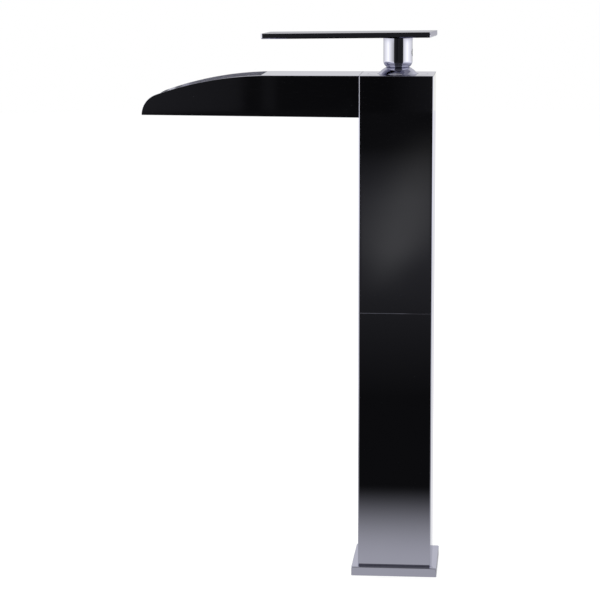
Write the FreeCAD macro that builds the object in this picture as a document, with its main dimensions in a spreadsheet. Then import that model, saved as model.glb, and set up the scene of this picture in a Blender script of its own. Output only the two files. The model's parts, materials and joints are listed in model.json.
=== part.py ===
import FreeCAD, Part
import math
import os
import re
import Sketcher

# Tall waterfall basin faucet, in millimetres.
# The origin is on the deck, under the middle of the column. +Z is up and the spout points along -X.

SIZES = (
    # Column and body
    ("columnWidth", 42.6, "outside of the square column, body and spout"),
    ("columnWall", 2.8, "wall of the square tubes"),
    ("edgeRound", 1.0, "rounding of the upright edges"),
    ("rimRound", 0.4, "rounding of the spout's edges"),
    ("bodyTop", 292.8, "height of the flat top over the deck"),
    ("seamHeight", 156.0, "height of the joint between column and body"),
    ("seamBevel", 0.25, "bevel on both sides of that joint"),
    ("topThickness", 10.8, "closed top of the body"),
    ("insideGap", 0.2, "gap between the tubes and the blocks inside them"),
    ("sleeveWall", 1.2, "wall of the sleeve inside the joint"),
    ("sleeveOverlap", 20.0, "length of the sleeve on each side of the joint"),
    # Foot
    ("baseWidth", 50.0, "square base plate"),
    ("baseThickness", 5.3, "thickness of the base plate"),
    ("baseBevel", 0.4, "bevel round its upper edge"),
    ("openingMargin", 0.33, "wall between its opening and the tie bolts' head seats"),
    ("gasketInset", 1.5, "rim of the base plate outside the gasket"),
    ("gasketWidth", 2.0, "width of the base gasket"),
    ("gasketDepth", 1.8, "thickness of the base gasket"),
    ("blockHeight", 24.7, "height of the mounting block"),
    ("portRadius", 5.0, "thread of a hose port"),
    ("portDepth", 12.0, "depth of a hose port"),
    ("portBack", 5.0, "ports behind the column's axis"),
    ("portSpread", 8.5, "ports to each side of the axis"),
    ("studRadius", 4.0, "thread of the mounting stud"),
    ("studDepth", 20.0, "depth of the stud hole"),
    ("studForward", 9.5, "stud hole in front of the axis"),
    # Riser tubes
    ("tubeRadius", 5.0, "outside of a riser tube"),
    ("tubeWall", 0.8, "wall of a riser tube"),
    ("tubeSocket", 11.0, "length of a tube inside its socket"),
    ("tubeGap", 0.1, "gap round a tube in its socket"),
    ("waterRadius", 4.0, "drilled water way in the mounting block"),
    ("ringSection", 0.6, "half thickness of a tube's O-ring"),
    ("ringInset", 4.0, "O-ring below the mouth of its socket"),
    ("ringGap", 0.05, "groove beyond the O-ring, to each side"),
    # Screws
    ("cornerInset", 4.1, "screws and tie bolts from the sides of the blocks"),
    ("screwRadius", 2.0, "base and spout screws"),
    ("screwHead", 3.5, "radius of their heads"),
    ("screwHeadHeight", 2.4, "height of their heads"),
    ("hexRadius", 1.4, "hexagon recess in a screw's head, to its corners"),
    ("hexDepth", 1.4, "depth of that recess"),
    ("screwLength", 10.0, "shank of a base or spout screw"),
    ("lowerScrewLength", 12.0, "shank of a lower spout screw"),
    ("boltRadius", 2.5, "tie bolt"),
    ("boltHead", 4.25, "radius of its head"),
    ("boltHeadHeight", 3.0, "height of its head"),
    ("boltGrip", 12.0, "tie bolt's thread in the valve body"),
    ("threadGap", 0.1, "gap round a thread"),
    ("headRecess", 0.3, "heads below the base plate's face"),
    # Valve body
    ("valveHeight", 55.8, "height of the valve body"),
    ("cartridgeRadius", 12.4, "outside of the cartridge"),
    ("cartridgeGap", 0.2, "gap round the cartridge"),
    ("seatDrop", 31.4, "cartridge seat below the pivot"),
    ("nutRadius", 15.0, "outside of the retaining nut"),
    ("nutGap", 0.1, "gap round the nut's thread"),
    ("slotSpare", 0.4, "water slot wider than the window, to each side"),
    ("slotDepth", 2.0, "depth of the water slot in the valve body's front"),
    ("sealWidth", 1.0, "width of the seal frame round the slot"),
    ("sealMargin", 0.3, "wall between slot and seal"),
    ("sealDepth", 1.0, "groove of that seal"),
    # Cartridge
    ("ballDrop", 9.0, "centre of the ball, where the lever tilts, below the flat top"),
    ("housingWall", 1.5, "wall of the cartridge housing"),
    ("flangeRadius", 13.9, "collar of the housing under the nut"),
    ("flangeLow", 12.0, "its lower face below the pivot"),
    ("flangeHigh", 9.2, "its upper face below the pivot"),
    ("shoulderDrop", 4.0, "housing's shoulder below the pivot"),
    ("neckOutside", 10.2, "outside of the housing's neck"),
    ("neckRise", 1.2, "top of the neck above the pivot"),
    ("nutTopDrop", 3.8, "top of the nut below the pivot"),
    ("baseHeight", 6.2, "height of the cartridge's foot"),
    ("pressGap", 0.1, "gap round pieces pressed into the housing"),
    ("discThickness", 4.0, "one ceramic disc"),
    ("inletBack", 4.5, "inlet holes behind the axis"),
    ("inletSpread", 5.8, "inlet holes to each side"),
    ("inletRadius", 2.2, "inlet holes"),
    ("outletForward", 6.2, "outlet hole in front of the axis"),
    ("outletRadius", 2.6, "outlet hole"),
    ("portSealWidth", 1.2, "width of a port seal"),
    ("portSealGap", 0.15, "wall between a port and its seal"),
    ("portSealHeight", 1.4, "height of a port seal"),
    ("outletDepth", 6.4, "drilling from outlet to slot below the seat"),
    # Moving inner pieces
    ("restSwivel", 6.5, "lever turned away from the spout's line, in degrees"),
    ("liftRange", 20.0, "tilt of the lever from closed to open, in degrees"),
    ("stemArm", 12.0, "foot ball of the stem below the pivot"),
    ("footRadius", 2.4, "foot ball"),
    ("footGap", 0.25, "gap round the foot ball in the carrier"),
    ("shankRadius", 1.7, "thin lower end of the stem"),
    ("shankTop", 5.0, "its top below the pivot"),
    ("stemRadius", 2.5, "stem at the pin"),
    ("stemSlotGap", 0.3, "gap beside the stem in the rotor"),
    ("slotFront", 6.0, "rotor's slot in front of the axis"),
    ("slotBack", 4.0, "rotor's slot behind the axis"),
    ("rotorNeck", 7.5, "rotor's neck"),
    ("turningGap", 0.08, "running gap round the rotor and the ball"),
    ("rotorRise", 3.0, "top of the rotor above the pivot"),
    ("rotorFlange", 10.6, "rotor's flange"),
    ("rotorFlangeLow", 8.6, "its lower face below the pivot"),
    ("rotorFlangeHigh", 6.0, "its upper face below the pivot"),
    ("flangeGap", 0.2, "gap over the rotor's flange"),
    ("cheekLow", 15.8, "rotor's cheeks reach this far below the pivot"),
    ("cheekLength", 10.0, "length of a cheek"),
    ("cheekThickness", 2.3, "thickness of a cheek"),
    ("cheekGap", 0.2, "gap between cheek and carrier"),
    ("pinRadius", 1.25, "pivot pin"),
    ("pinLength", 14.4, "pivot pin"),
    ("pinGap", 0.05, "running gap round the pin"),
    ("carrierRadius", 8.3, "disc carrier and moving disc"),
    ("carrierFlat", 6.4, "carrier's flats from its middle"),
    ("carrierHeight", 6.4, "height of the carrier"),
    ("socketFloor", 1.6, "carrier under the foot's socket"),
    ("keyRadius", 3.0, "round key between carrier and moving disc"),
    ("keyHeight", 1.0, "height of that key"),
    ("keyGap", 0.1, "gap round that key"),
    ("mixRadius", 5.0, "mixing hollow under the moving disc"),
    ("mixDepth", 2.0, "depth of that hollow"),
    # Ball
    ("ballRadius", 14.5, "ball cap"),
    ("ballWall", 1.9, "wall of the ball cap"),
    ("ballEdgeAngle", 10.0, "rim of the ball cap over its equator, in degrees"),
    ("ballFlat", 13.0, "flat on the ball above the pivot"),
    ("ballSeat", 11.2, "flat inside the ball above the pivot"),
    ("ballHoleGap", 0.1, "gap round the stem in the ball"),
    ("ballRelief", 0.3, "gap between the ball and the bonnet ring"),
    ("bonnetRadius", 17.2, "outside of the bonnet ring"),
    ("bonnetHeight", 7.4, "height of the bonnet ring"),
    ("bonnetGap", 0.1, "gap round the bonnet ring"),
    ("glideRadius", 15.9, "outside of the glide ring"),
    ("glideHeight", 2.4, "height of the glide ring"),
    # Lever
    ("collarRadius", 5.5, "stem's collar under the ball cap"),
    ("collarHeight", 1.6, "height of that collar"),
    ("stemTopRadius", 3.6, "stem above the collar"),
    ("stemTopRise", 25.2, "top of the stem above the pivot"),
    ("hubRadius", 8.45, "round neck under the lever"),
    ("hubFoot", 6.75, "radius of the neck where it meets the ball"),
    ("hubTaper", 3.5, "height of its tapered foot"),
    ("hubRise", 29.5, "top of the neck above the pivot"),
    ("hubSocketSpare", 0.6, "hub's socket above the stem"),
    ("setScrewRise", 21.2, "set screw above the pivot"),
    ("setScrewLength", 4.5, "length of the set screw"),
    ("leverFront", 78.1, "lever in front of the axis"),
    ("leverBack", 20.8, "lever behind the axis"),
    ("leverWidth", 27.7, "width of the lever"),
    ("leverThickness", 3.1, "thickness of the lever"),
    ("leverRise", 33.1, "lever's top face above the pivot, at the axis"),
    ("leverDroop", 0.85, "slope of the lever down to its front, in degrees"),
    ("leverEdge", 0.4, "bevel round the lever's lower edges"),
    ("bellyDepth", 0.5, "shallow swelling under the lever"),
    ("bellyRadius", 13.2, "radius of that swelling"),
    # Spout
    ("spoutReach", 125.0, "tip of the spout from the column"),
    ("spoutDepth", 23.8, "height of the spout at the column"),
    ("spoutRise", 1.0, "rise of its underside to the tip"),
    ("spoutFlat", 51.0, "straight part of its top edge"),
    ("tipRadius", 12.3, "rounding of its tip"),
    ("spoutWall", 3.0, "side walls and end plate"),
    ("spoutFloor", 2.6, "floor of the trough"),
    ("coverLength", 57.2, "cover from the column to its front edge"),
    ("coverThickness", 3.0, "cover plate"),
    ("coverNose", 1.3, "rounding of the cover's front edge"),
    ("coverGap", 0.05, "gap beside the cover"),
    ("ledgeWidth", 1.0, "ledge under the cover"),
    ("ledgeHeight", 2.0, "height of that ledge"),
    ("screwMargin", 0.6, "wall between the spout gasket and the screws"),
    ("windowStep", 0.8, "its lower edge over the trough's floor"),
    ("windowHeight", 7.0, "height of that window"),
    ("gasketMargin", 0.2, "wall between window and spout gasket"),
    ("spoutGasketWidth", 1.4, "width of the spout gasket"),
    ("spoutGasketDepth", 1.2, "thickness of the spout gasket"),
    ("spoutScrewInset", 4.5, "spout screws from the trough's inner walls"),
    ("upperScrewDrop", 7.2, "upper pair of spout screws below the flat top"),
    ("lowerScrewDrop", 17.2, "lower pair of spout screws below the flat top"),
    ("baffleForward", 41.0, "flow baffle in front of the column"),
    ("baffleThickness", 1.2, "flow baffle"),
    ("baffleGap", 0.1, "gap round the flow baffle"),
    ("baffleHole", 1.5, "radius of its holes"),
    ("bafflePitch", 4.4, "distance between its holes"),
    ("baffleLift", 6.0, "lower row of holes above the floor"),
)
# Sizes that follow from the ones above.
DERIVED = {
    "columnHalf": "columnWidth / 2",
    "insideWidth": "columnWidth - 2 * columnWall",
    "blockHalf": "columnHalf - columnWall - insideGap",
    "blockWidth": "2 * blockHalf",
    "cornerPlace": "blockHalf - cornerInset",
    "baseOpening": "cornerPlace * sqrt(2) - boltHead - threadGap - openingMargin",
    "blockTop": "baseThickness + blockHeight",
    "pivotHeight": "bodyTop - ballDrop",
    "valveTop": "bodyTop - topThickness - insideGap",
    "valveFoot": "valveTop - valveHeight",
    "seatHeight": "pivotHeight - seatDrop",
    "housingBore": "cartridgeRadius - housingWall",
    "footTop": "seatHeight + baseHeight",
    "fixedTop": "footTop + discThickness",
    "movingTop": "fixedTop + discThickness",
    "discShift": "stemArm * liftRange * pi / 360",
    "bonnetLow": "bodyTop - bonnetHeight",
    "spoutBottom": "bodyTop - spoutDepth",
    "floorTop": "spoutBottom + spoutFloor",
    "spoutTip": "-columnHalf - spoutReach",
    "endFace": "-columnHalf - spoutWall",
    "channelHalf": "columnHalf - spoutWall",
    "coverLow": "bodyTop - coverThickness",
    "spoutScrewPlace": "channelHalf - spoutScrewInset",
    "gasketReach": "spoutScrewPlace - screwRadius - threadGap - screwMargin",
    "windowWidth": "2 * (gasketReach - spoutGasketWidth - gasketMargin)",
    "windowLow": "floorTop + windowStep",
    "windowHigh": "windowLow + windowHeight",
    "upperScrewHeight": "bodyTop - upperScrewDrop",
    "lowerScrewHeight": "bodyTop - lowerScrewDrop",
    "outletWayHeight": "seatHeight - outletDepth",
    "slotHalf": "windowWidth / 2 + slotSpare",
    "slotLow": "outletWayHeight - outletRadius - slotSpare",
    "slotHigh": "windowHigh + slotSpare / 2",
}
SIDES = (("Left", "-1"), ("Right", "1"))
BAFFLE_COLUMNS = 7
BAFFLE_ROWS = 2
TINY = 1e-6
SAME_PLACE = 0.001

document = FreeCAD.newDocument("WaterfallFaucet")
sheet = document.addObject("Spreadsheet::Sheet", "Sizes")
for row, (alias, number, note) in enumerate(SIZES, start=1):
    sheet.set(f"A{row}", alias)
    sheet.set(f"B{row}", str(number))
    sheet.set(f"C{row}", note)
    sheet.setAlias(f"B{row}", alias)
document.recompute()
ALIASES = {alias for alias, number, note in SIZES}
UP = FreeCAD.Vector(0, 0, 1)
subParts = []


def bound(formula):
    """The formula with each of its size names pointing at the sheet."""

    def replaced(word):
        if word[0] in DERIVED:
            return "(" + bound(DERIVED[word[0]]) + ")"
        return sheet.Name + "." + word[0] if word[0] in ALIASES else word[0]

    return re.sub(r"[A-Za-z]\w*", replaced, formula)


def size(formula):
    """The number that a formula of the sheet's sizes gives."""
    return float(sheet.evalExpression(bound(formula)))


def keep(piece, label):
    """Names a finished sub-part and lists it for export."""
    piece.Label = label
    subParts.append(piece)
    return piece


def turnWithLever(piece):
    """Turns a piece about the upright axis to where the lever stands at rest."""
    piece.Placement.Rotation = FreeCAD.Rotation(UP, -size("restSwivel"))
    piece.setExpression(".Placement.Rotation.Angle", bound("-restSwivel"))
    return piece


# ---- Shapes from primitives ----

def place(piece, x, y, z):
    for axis, formula in zip("xyz", (x, y, z)):
        piece.setExpression(".Placement.Base." + axis, bound(formula))


def box(name, x, y, z):
    """A block between the low and high formulas of each axis."""
    block = document.addObject("Part::Box", name)
    for side, (low, high) in zip(("Length", "Width", "Height"), (x, y, z)):
        block.setExpression(side, bound(f"({high}) - ({low})"))
    place(block, x[0], y[0], z[0])
    return block


def rod(name, radius, x, y, z):
    """A cylinder. The one axis given as a (low, high) pair is the one that it runs along."""
    cylinder = document.addObject("Part::Cylinder", name)
    cylinder.setExpression("Radius", bound(radius))
    spans = [span if isinstance(span, tuple) else (span, None) for span in (x, y, z)]
    along = next(index for index, span in enumerate(spans) if span[1] is not None)
    low, high = spans[along]
    direction = FreeCAD.Vector(*(float(index == along) for index in range(3)))
    cylinder.Placement.Rotation = FreeCAD.Rotation(UP, direction)
    cylinder.setExpression("Height", bound(f"({high}) - ({low})"))
    place(cylinder, *(span[0] for span in spans))
    return cylinder


def ball(name, radius, x, y, z):
    sphere = document.addObject("Part::Sphere", name)
    sphere.setExpression("Radius", bound(radius))
    place(sphere, x, y, z)
    return sphere


def joined(name, pieces):
    fuse = document.addObject("Part::MultiFuse", name)
    fuse.Shapes = pieces
    return fuse


def without(name, base, tools):
    """The base less its tools."""
    cut = document.addObject("Part::Cut", name)
    cut.Base = base
    cut.Tool = tools[0] if len(tools) == 1 else joined(name + "Tools", tools)
    return cut


def together(name, pieces):
    """Separate solids of one kind in one node."""
    group = document.addObject("Part::Compound", name)
    group.Links = pieces
    return group


# ---- Shapes from sketches ----

def sketchOn(body, role, name, shift="0"):
    """A sketch on one of the body's own planes, moved along that plane's normal."""
    plane = next(feature for feature in body.Origin.OriginFeatures if feature.Role == role)
    sketch = body.newObject("Sketcher::SketchObject", name)
    sketch.AttachmentSupport = [(plane, "")]
    sketch.MapMode = "FlatFace"
    sketch.setExpression(".AttachmentOffset.Base.z", bound(shift))
    return sketch


def pin(sketch, geometry, point, formulas):
    """Holds one point of a sketch at its formulas."""
    for kind, formula in zip(("DistanceX", "DistanceY"), formulas):
        index = sketch.addConstraint(Sketcher.Constraint(kind, -1, 1, geometry, point, size(formula)))
        sketch.setExpression(f"Constraints[{index}]", bound(formula))


def spot(formulas):
    return FreeCAD.Vector(size(formulas[0]), size(formulas[1]), 0)


def drawPolygon(sketch, corners):
    first = sketch.GeometryCount
    count = len(corners)
    for index, corner in enumerate(corners):
        following = corners[(index + 1) % count]
        sketch.addGeometry(Part.LineSegment(spot(corner), spot(following)))
    for index in range(count):
        following = first + (index + 1) % count
        sketch.addConstraint(Sketcher.Constraint("Coincident", first + index, 2, following, 1))
    for index, corner in enumerate(corners):
        pin(sketch, first + index, 1, corner)


def drawRectangle(sketch, x, y):
    drawPolygon(sketch, ((x[0], y[0]), (x[1], y[0]), (x[1], y[1]), (x[0], y[1])))


def drawSquare(sketch, width):
    half = f"({width}) / 2"
    drawRectangle(sketch, (f"-{half}", half), (f"-{half}", half))


def drawCircle(sketch, radius, x="0", y="0"):
    index = sketch.addGeometry(Part.Circle(spot((x, y)), FreeCAD.Vector(0, 0, 1), size(radius)))
    pin(sketch, index, 3, (x, y))
    constraint = sketch.addConstraint(Sketcher.Constraint("Radius", index, size(radius)))
    sketch.setExpression(f"Constraints[{constraint}]", bound(radius))


def extrude(body, kind, sketch, length, symmetric=False, backward=False):
    """A Pad or a Pocket of the sketch, checked to change the body's volume."""
    before = volumeOf(body)
    feature = body.newObject("PartDesign::" + kind, sketch.Name + kind)
    feature.Profile = sketch
    feature.setExpression("Length", bound(length))
    feature.SideType = "Symmetric" if symmetric else "One side"
    feature.Reversed = backward
    document.recompute()
    if abs(volumeOf(body) - before) < TINY:
        raise RuntimeError(f"{feature.Name} changes nothing")
    return feature


def volumeOf(body):
    return body.Shape.Volume if body.Tip and not body.Shape.isNull() else 0.0


def dressEdges(body, kind, name, amount, chosen):
    """A Fillet or a Chamfer on the edges of the body that the test picks by their middle and direction."""
    tip = body.Tip
    edges = [f"Edge{number}" for number, edge in enumerate(tip.Shape.Edges, start=1) if chosen(edge)]
    if not edges:
        raise RuntimeError(f"{name} finds no edge")
    feature = body.newObject("PartDesign::" + kind, name)
    feature.Base = (tip, edges)
    feature.setExpression("Radius" if kind == "Fillet" else "Size", bound(amount))
    document.recompute()
    return feature


def middle(edge):
    return edge.valueAt((edge.FirstParameter + edge.LastParameter) / 2)


def runsAlong(edge, direction):
    """True for a straight edge in that direction."""
    tangent = edge.tangentAt((edge.FirstParameter + edge.LastParameter) / 2)
    return isinstance(edge.Curve, Part.Line) and abs(tangent.dot(direction)) > 1 - TINY


def near(first, second):
    return abs(first - second) < SAME_PLACE


def turned(label, outline):
    """A turned piece: its half outline in (radius, height) spun about the upright axis."""
    body = document.addObject("PartDesign::Body", label)
    sketch = sketchOn(body, "XZ_Plane", label + "Outline")
    drawPolygon(sketch, outline)
    turn = body.newObject("PartDesign::Revolution", label + "Turn")
    turn.Profile = sketch
    turn.ReferenceAxis = (sketch, ["V_Axis"])
    turn.Angle = 360
    return body


# ---- Column, body and foot ----

def isCorner(edge):
    """True for an upright edge at the outside of the square column."""
    half = size("columnHalf")
    centre = middle(edge)
    return runsAlong(edge, UP) and near(abs(centre.x), half) and near(abs(centre.y), half)


def isOutsideAt(height):
    """A test for the level outer edges of the square column at one height."""
    half = size("columnHalf")

    def test(edge):
        centre = middle(edge)
        return near(centre.z, height) and near(max(abs(centre.x), abs(centre.y)), half)

    return test


def squareTube(label, low, high):
    body = document.addObject("PartDesign::Body", label)
    outside = sketchOn(body, "XY_Plane", label + "Outside", low)
    drawSquare(outside, "columnWidth")
    extrude(body, "Pad", outside, f"({high}) - ({low})")
    dressEdges(body, "Fillet", label + "Edges", "edgeRound", isCorner)
    return body


def makeLowerColumn():
    body = squareTube("lower_column", "baseThickness", "seamHeight")
    dressEdges(body, "Chamfer", "columnSeam", "seamBevel", isOutsideAt(size("seamHeight")))
    inside = sketchOn(body, "XY_Plane", "columnInside", "baseThickness")
    drawSquare(inside, "insideWidth")
    extrude(body, "Pocket", inside, "seamHeight - baseThickness", backward=True)
    keep(body, "lower_column")


def makeUpperBody():
    """Square body with a closed top, the hole for the bonnet ring and the window into the spout."""
    body = squareTube("upper_body", "seamHeight", "bodyTop")
    dressEdges(body, "Chamfer", "bodySeam", "seamBevel", isOutsideAt(size("seamHeight")))
    inside = sketchOn(body, "XY_Plane", "bodyInside", "seamHeight")
    drawSquare(inside, "insideWidth")
    extrude(body, "Pocket", inside, "bodyTop - topThickness - seamHeight", backward=True)
    hole = sketchOn(body, "XY_Plane", "bonnetHole", "bodyTop")
    drawCircle(hole, "bonnetRadius + bonnetGap")
    extrude(body, "Pocket", hole, "topThickness")
    front = sketchOn(body, "YZ_Plane", "bodyWindow", "-columnHalf")
    drawRectangle(front, ("-windowWidth / 2", "windowWidth / 2"), ("windowLow", "windowHigh"))
    for height in ("upperScrewHeight", "lowerScrewHeight"):
        for side, sign in SIDES:
            drawCircle(front, "screwRadius + threadGap", f"{sign} * spoutScrewPlace", height)
    extrude(body, "Pocket", front, "columnWall", backward=True)
    threads = sketchOn(body, "YZ_Plane", "spoutThreads", "-columnHalf")
    for side, sign in SIDES:
        drawCircle(threads, "screwRadius + threadGap", f"{sign} * spoutScrewPlace", "upperScrewHeight")
    extrude(body, "Pocket", threads, "screwLength - spoutWall + threadGap", backward=True)
    keep(body, "upper_body")


def makeJointSleeve():
    body = document.addObject("PartDesign::Body", "joint_sleeve")
    wall = sketchOn(body, "XY_Plane", "sleeveWalls", "seamHeight - sleeveOverlap")
    drawSquare(wall, "blockWidth")
    drawSquare(wall, "blockWidth - 2 * sleeveWall")
    extrude(body, "Pad", wall, "2 * sleeveOverlap")
    keep(body, "joint_sleeve")


def makeBasePlate():
    body = document.addObject("PartDesign::Body", "base_plate")
    plate = sketchOn(body, "XY_Plane", "plateOutline")
    drawSquare(plate, "baseWidth")
    extrude(body, "Pad", plate, "baseThickness")
    top = size("baseThickness")
    dressEdges(body, "Fillet", "plateCorners", "edgeRound / 2", lambda edge: runsAlong(edge, UP))
    dressEdges(body, "Chamfer", "plateBevel", "baseBevel", lambda edge: near(middle(edge).z, top))
    holes = sketchOn(body, "XY_Plane", "plateHoles")
    drawCircle(holes, "baseOpening")
    for side, sign in SIDES:
        drawCircle(holes, "screwRadius + threadGap", "cornerPlace", f"{sign} * cornerPlace")
        drawCircle(holes, "boltRadius + threadGap", "-cornerPlace", f"{sign} * cornerPlace")
    extrude(body, "Pocket", holes, "baseThickness", backward=True)
    for name, head, height, forward in (
        ("screwSeats", "screwHead", "screwHeadHeight", "cornerPlace"),
        ("boltSeats", "boltHead", "boltHeadHeight", "-cornerPlace"),
    ):
        seats = sketchOn(body, "XY_Plane", name)
        for side, sign in SIDES:
            drawCircle(seats, f"{head} + threadGap", forward, f"{sign} * cornerPlace")
        extrude(body, "Pocket", seats, f"{height} + headRecess", backward=True)
    groove = sketchOn(body, "XY_Plane", "gasketGroove")
    drawSquare(groove, "baseWidth - 2 * gasketInset")
    drawSquare(groove, "baseWidth - 2 * gasketInset - 2 * gasketWidth")
    extrude(body, "Pocket", groove, "gasketDepth", backward=True)
    keep(body, "base_plate")


def makeBaseGasket():
    body = document.addObject("PartDesign::Body", "base_gasket")
    frame = sketchOn(body, "XY_Plane", "gasketFrame")
    drawSquare(frame, "baseWidth - 2 * gasketInset")
    drawSquare(frame, "baseWidth - 2 * gasketInset - 2 * gasketWidth")
    extrude(body, "Pad", frame, "gasketDepth")
    keep(body, "base_gasket")


def makeMountingBlock():
    """Brass block in the foot: hose ports and stud hole from below, tube sockets from above."""
    low = "baseThickness"
    high = "blockTop"
    block = box("blockBody", ("-blockHalf", "blockHalf"), ("-blockHalf", "blockHalf"), (low, high))
    tools = [rod("studHole", "studRadius", "-studForward", "0", (low, f"{low} + studDepth"))]
    for side, sign in SIDES:
        across = f"{sign} * portSpread"
        tools.append(rod("hosePort" + side, "portRadius", "portBack", across, (low, f"{low} + portDepth")))
        tools.append(rod("footWay" + side, "waterRadius", "portBack", across, (low, high)))
        tools.extend(tubeSocket("foot" + side, across, high, "-1"))
        corner = f"{sign} * cornerPlace"
        tools.append(rod("boltWay" + side, "boltRadius + threadGap", "-cornerPlace", corner, (low, high)))
        depth = f"{low} + screwLength"
        tools.append(rod("screwWay" + side, "screwRadius + threadGap", "cornerPlace", corner, (low, depth)))
    keep(without("mountingBlock", block, tools), "mounting_block")


def tubeSocket(name, across, mouth, inward):
    """The cuts for a tube's end and its O-ring: inward is -1 for a socket that runs down from its mouth."""
    floor = f"{mouth} + {inward} * tubeSocket"
    ends = (floor, mouth) if inward == "-1" else (mouth, floor)
    ring = f"{mouth} + {inward} * ringInset"
    groove = "tubeRadius + 2 * ringSection + tubeGap"
    span = (f"{ring} - ringSection - ringGap", f"{ring} + ringSection + ringGap")
    return [
        rod(name + "Socket", "tubeRadius + tubeGap", "portBack", across, ends),
        rod(name + "Groove", groove, "portBack", across, span),
    ]


def makeRiserTubes():
    low = "blockTop - tubeSocket"
    high = "valveFoot + tubeSocket"
    for label, sign in (("riser_tube_hot", "1"), ("riser_tube_cold", "-1")):
        across = f"{sign} * portSpread"
        outside = rod(label + "Outside", "tubeRadius", "portBack", across, (low, high))
        inside = rod(label + "Inside", "tubeRadius - tubeWall", "portBack", across, (low, high))
        keep(without(label, outside, [inside]), label)


def makeRiserSeals():
    rings = []
    for level, height in (("Foot", "blockTop - ringInset"), ("Valve", "valveFoot + ringInset")):
        for side, sign in SIDES:
            ring = document.addObject("Part::Torus", "riserSeal" + level + side)
            ring.setExpression("Radius1", bound("tubeRadius + ringSection + tubeGap / 2"))
            ring.setExpression("Radius2", bound("ringSection"))
            place(ring, "portBack", f"{sign} * portSpread", height)
            rings.append(ring)
    keep(together("riserSeals", rings), "riser_seals")


# ---- Screws ----

def uprightScrew(name, radius, head, headHeight, length, x, y, low):
    """A socket screw that stands on its head."""
    headTop = f"{low} + {headHeight}"
    body = joined(name + "Body", [
        rod(name + "Head", head, x, y, (low, headTop)),
        rod(name + "Shank", radius, x, y, (headTop, f"{headTop} + {length}")),
    ])
    return without(name, body, [hexagon(name + "Recess", x, y, low)])


def hexagon(name, x, y, low):
    prism = document.addObject("Part::Prism", name)
    prism.Polygon = 6
    prism.setExpression("Circumradius", bound("hexRadius"))
    prism.setExpression("Height", bound("hexDepth"))
    place(prism, x, y, low)
    return prism


def levelScrew(name, length, y, z):
    """A spout screw, with its head against the inside of the spout's end plate."""
    face = "-columnHalf - spoutWall"
    body = joined(name + "Body", [
        rod(name + "Head", "screwHead", (f"{face} - screwHeadHeight", face), y, z),
        rod(name + "Shank", "screwRadius", (face, f"{face} + {length}"), y, z),
    ])
    recess = hexagon(name + "Recess", f"{face} - screwHeadHeight", y, z)
    recess.Placement.Rotation = FreeCAD.Rotation(UP, FreeCAD.Vector(1, 0, 0))
    return without(name, body, [recess])


def makeScrews():
    screws = []
    bolts = []
    length = "baseThickness - screwHeadHeight - headRecess + screwLength - threadGap"
    reach = "valveFoot + boltGrip - boltHeadHeight - headRecess"
    for side, sign in SIDES:
        across = f"{sign} * cornerPlace"
        screws.append(uprightScrew("baseScrew" + side, "screwRadius", "screwHead", "screwHeadHeight", length,
                                   "cornerPlace", across, "headRecess"))
        bolts.append(uprightScrew("tieBolt" + side, "boltRadius", "boltHead", "boltHeadHeight", reach,
                                  "-cornerPlace", across, "headRecess"))
    keep(together("baseScrews", screws), "base_screws")
    keep(together("tieBolts", bolts), "tie_bolts")
    spoutScrews = []
    for side, sign in SIDES:
        across = f"{sign} * spoutScrewPlace"
        for level, length in (("upper", "screwLength"), ("lower", "lowerScrewLength")):
            name = level + "SpoutScrew" + side
            spoutScrews.append(levelScrew(name, length, across, level + "ScrewHeight"))
    keep(together("spoutScrews", spoutScrews), "spout_screws")


# ---- Valve body ----

def makeValveBody():
    """Brass block with the cartridge bore, two inlets from below and a flat slot up its front."""
    low = "valveFoot"
    block = box("valveBlock", ("-blockHalf", "blockHalf"), ("-blockHalf", "blockHalf"), (low, "valveTop"))
    step = "pivotHeight - flangeLow - insideGap"
    tools = [
        rod("cartridgeBore", "cartridgeRadius + cartridgeGap", "0", "0", ("seatHeight", "valveTop")),
        rod("nutBore", "nutRadius + nutGap", "0", "0", (step, "valveTop")),
        rod("outletDrop", "outletRadius", "-outletForward", "0", ("outletWayHeight", "seatHeight")),
        rod("outletWay", "outletRadius", ("-blockHalf", "-outletForward"), "0", "outletWayHeight"),
        box("waterSlot", ("-blockHalf", "-blockHalf + slotDepth"), ("-slotHalf", "slotHalf"),
            ("slotLow", "slotHigh")),
        sealFrame("outletSealGroove", "-blockHalf + sealDepth", "-blockHalf"),
    ]
    for side, sign in SIDES:
        inletAcross = f"{sign} * inletSpread"
        tools.append(rod("inletDrop" + side, "inletRadius", "inletBack", inletAcross, (low, "seatHeight")))
        tools.extend(tubeSocket("valve" + side, f"{sign} * portSpread", low, "1"))
        corner = f"{sign} * cornerPlace"
        grip = (low, "valveFoot + boltGrip + threadGap")
        tools.append(rod("boltThread" + side, "boltRadius + threadGap", "-cornerPlace", corner, grip))
        screwEnd = "-columnHalf - spoutWall + lowerScrewLength + threadGap"
        tools.append(rod("lowerThread" + side, "screwRadius + threadGap", ("-blockHalf", screwEnd),
                         f"{sign} * spoutScrewPlace", "lowerScrewHeight"))
    keep(without("valveBody", block, tools), "valve_body")


def sealFrame(name, back, front):
    """A rectangular frame round the water slot, between two planes across X."""
    inside = "slotHalf + sealMargin"
    outside = f"{inside} + sealWidth"
    outer = box(name + "Outer", (front, back), (f"-({outside})", outside),
                ("slotLow - sealMargin - sealWidth", "slotHigh + sealMargin + sealWidth"))
    inner = box(name + "Inner", (front, back), (f"-({inside})", inside),
                ("slotLow - sealMargin", "slotHigh + sealMargin"))
    return without(name, outer, [inner])


def makeOutletSeal():
    keep(sealFrame("outletSeal", "-blockHalf + sealDepth", "-blockHalf - insideGap"), "outlet_seal")


# ---- Cartridge ----

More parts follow.
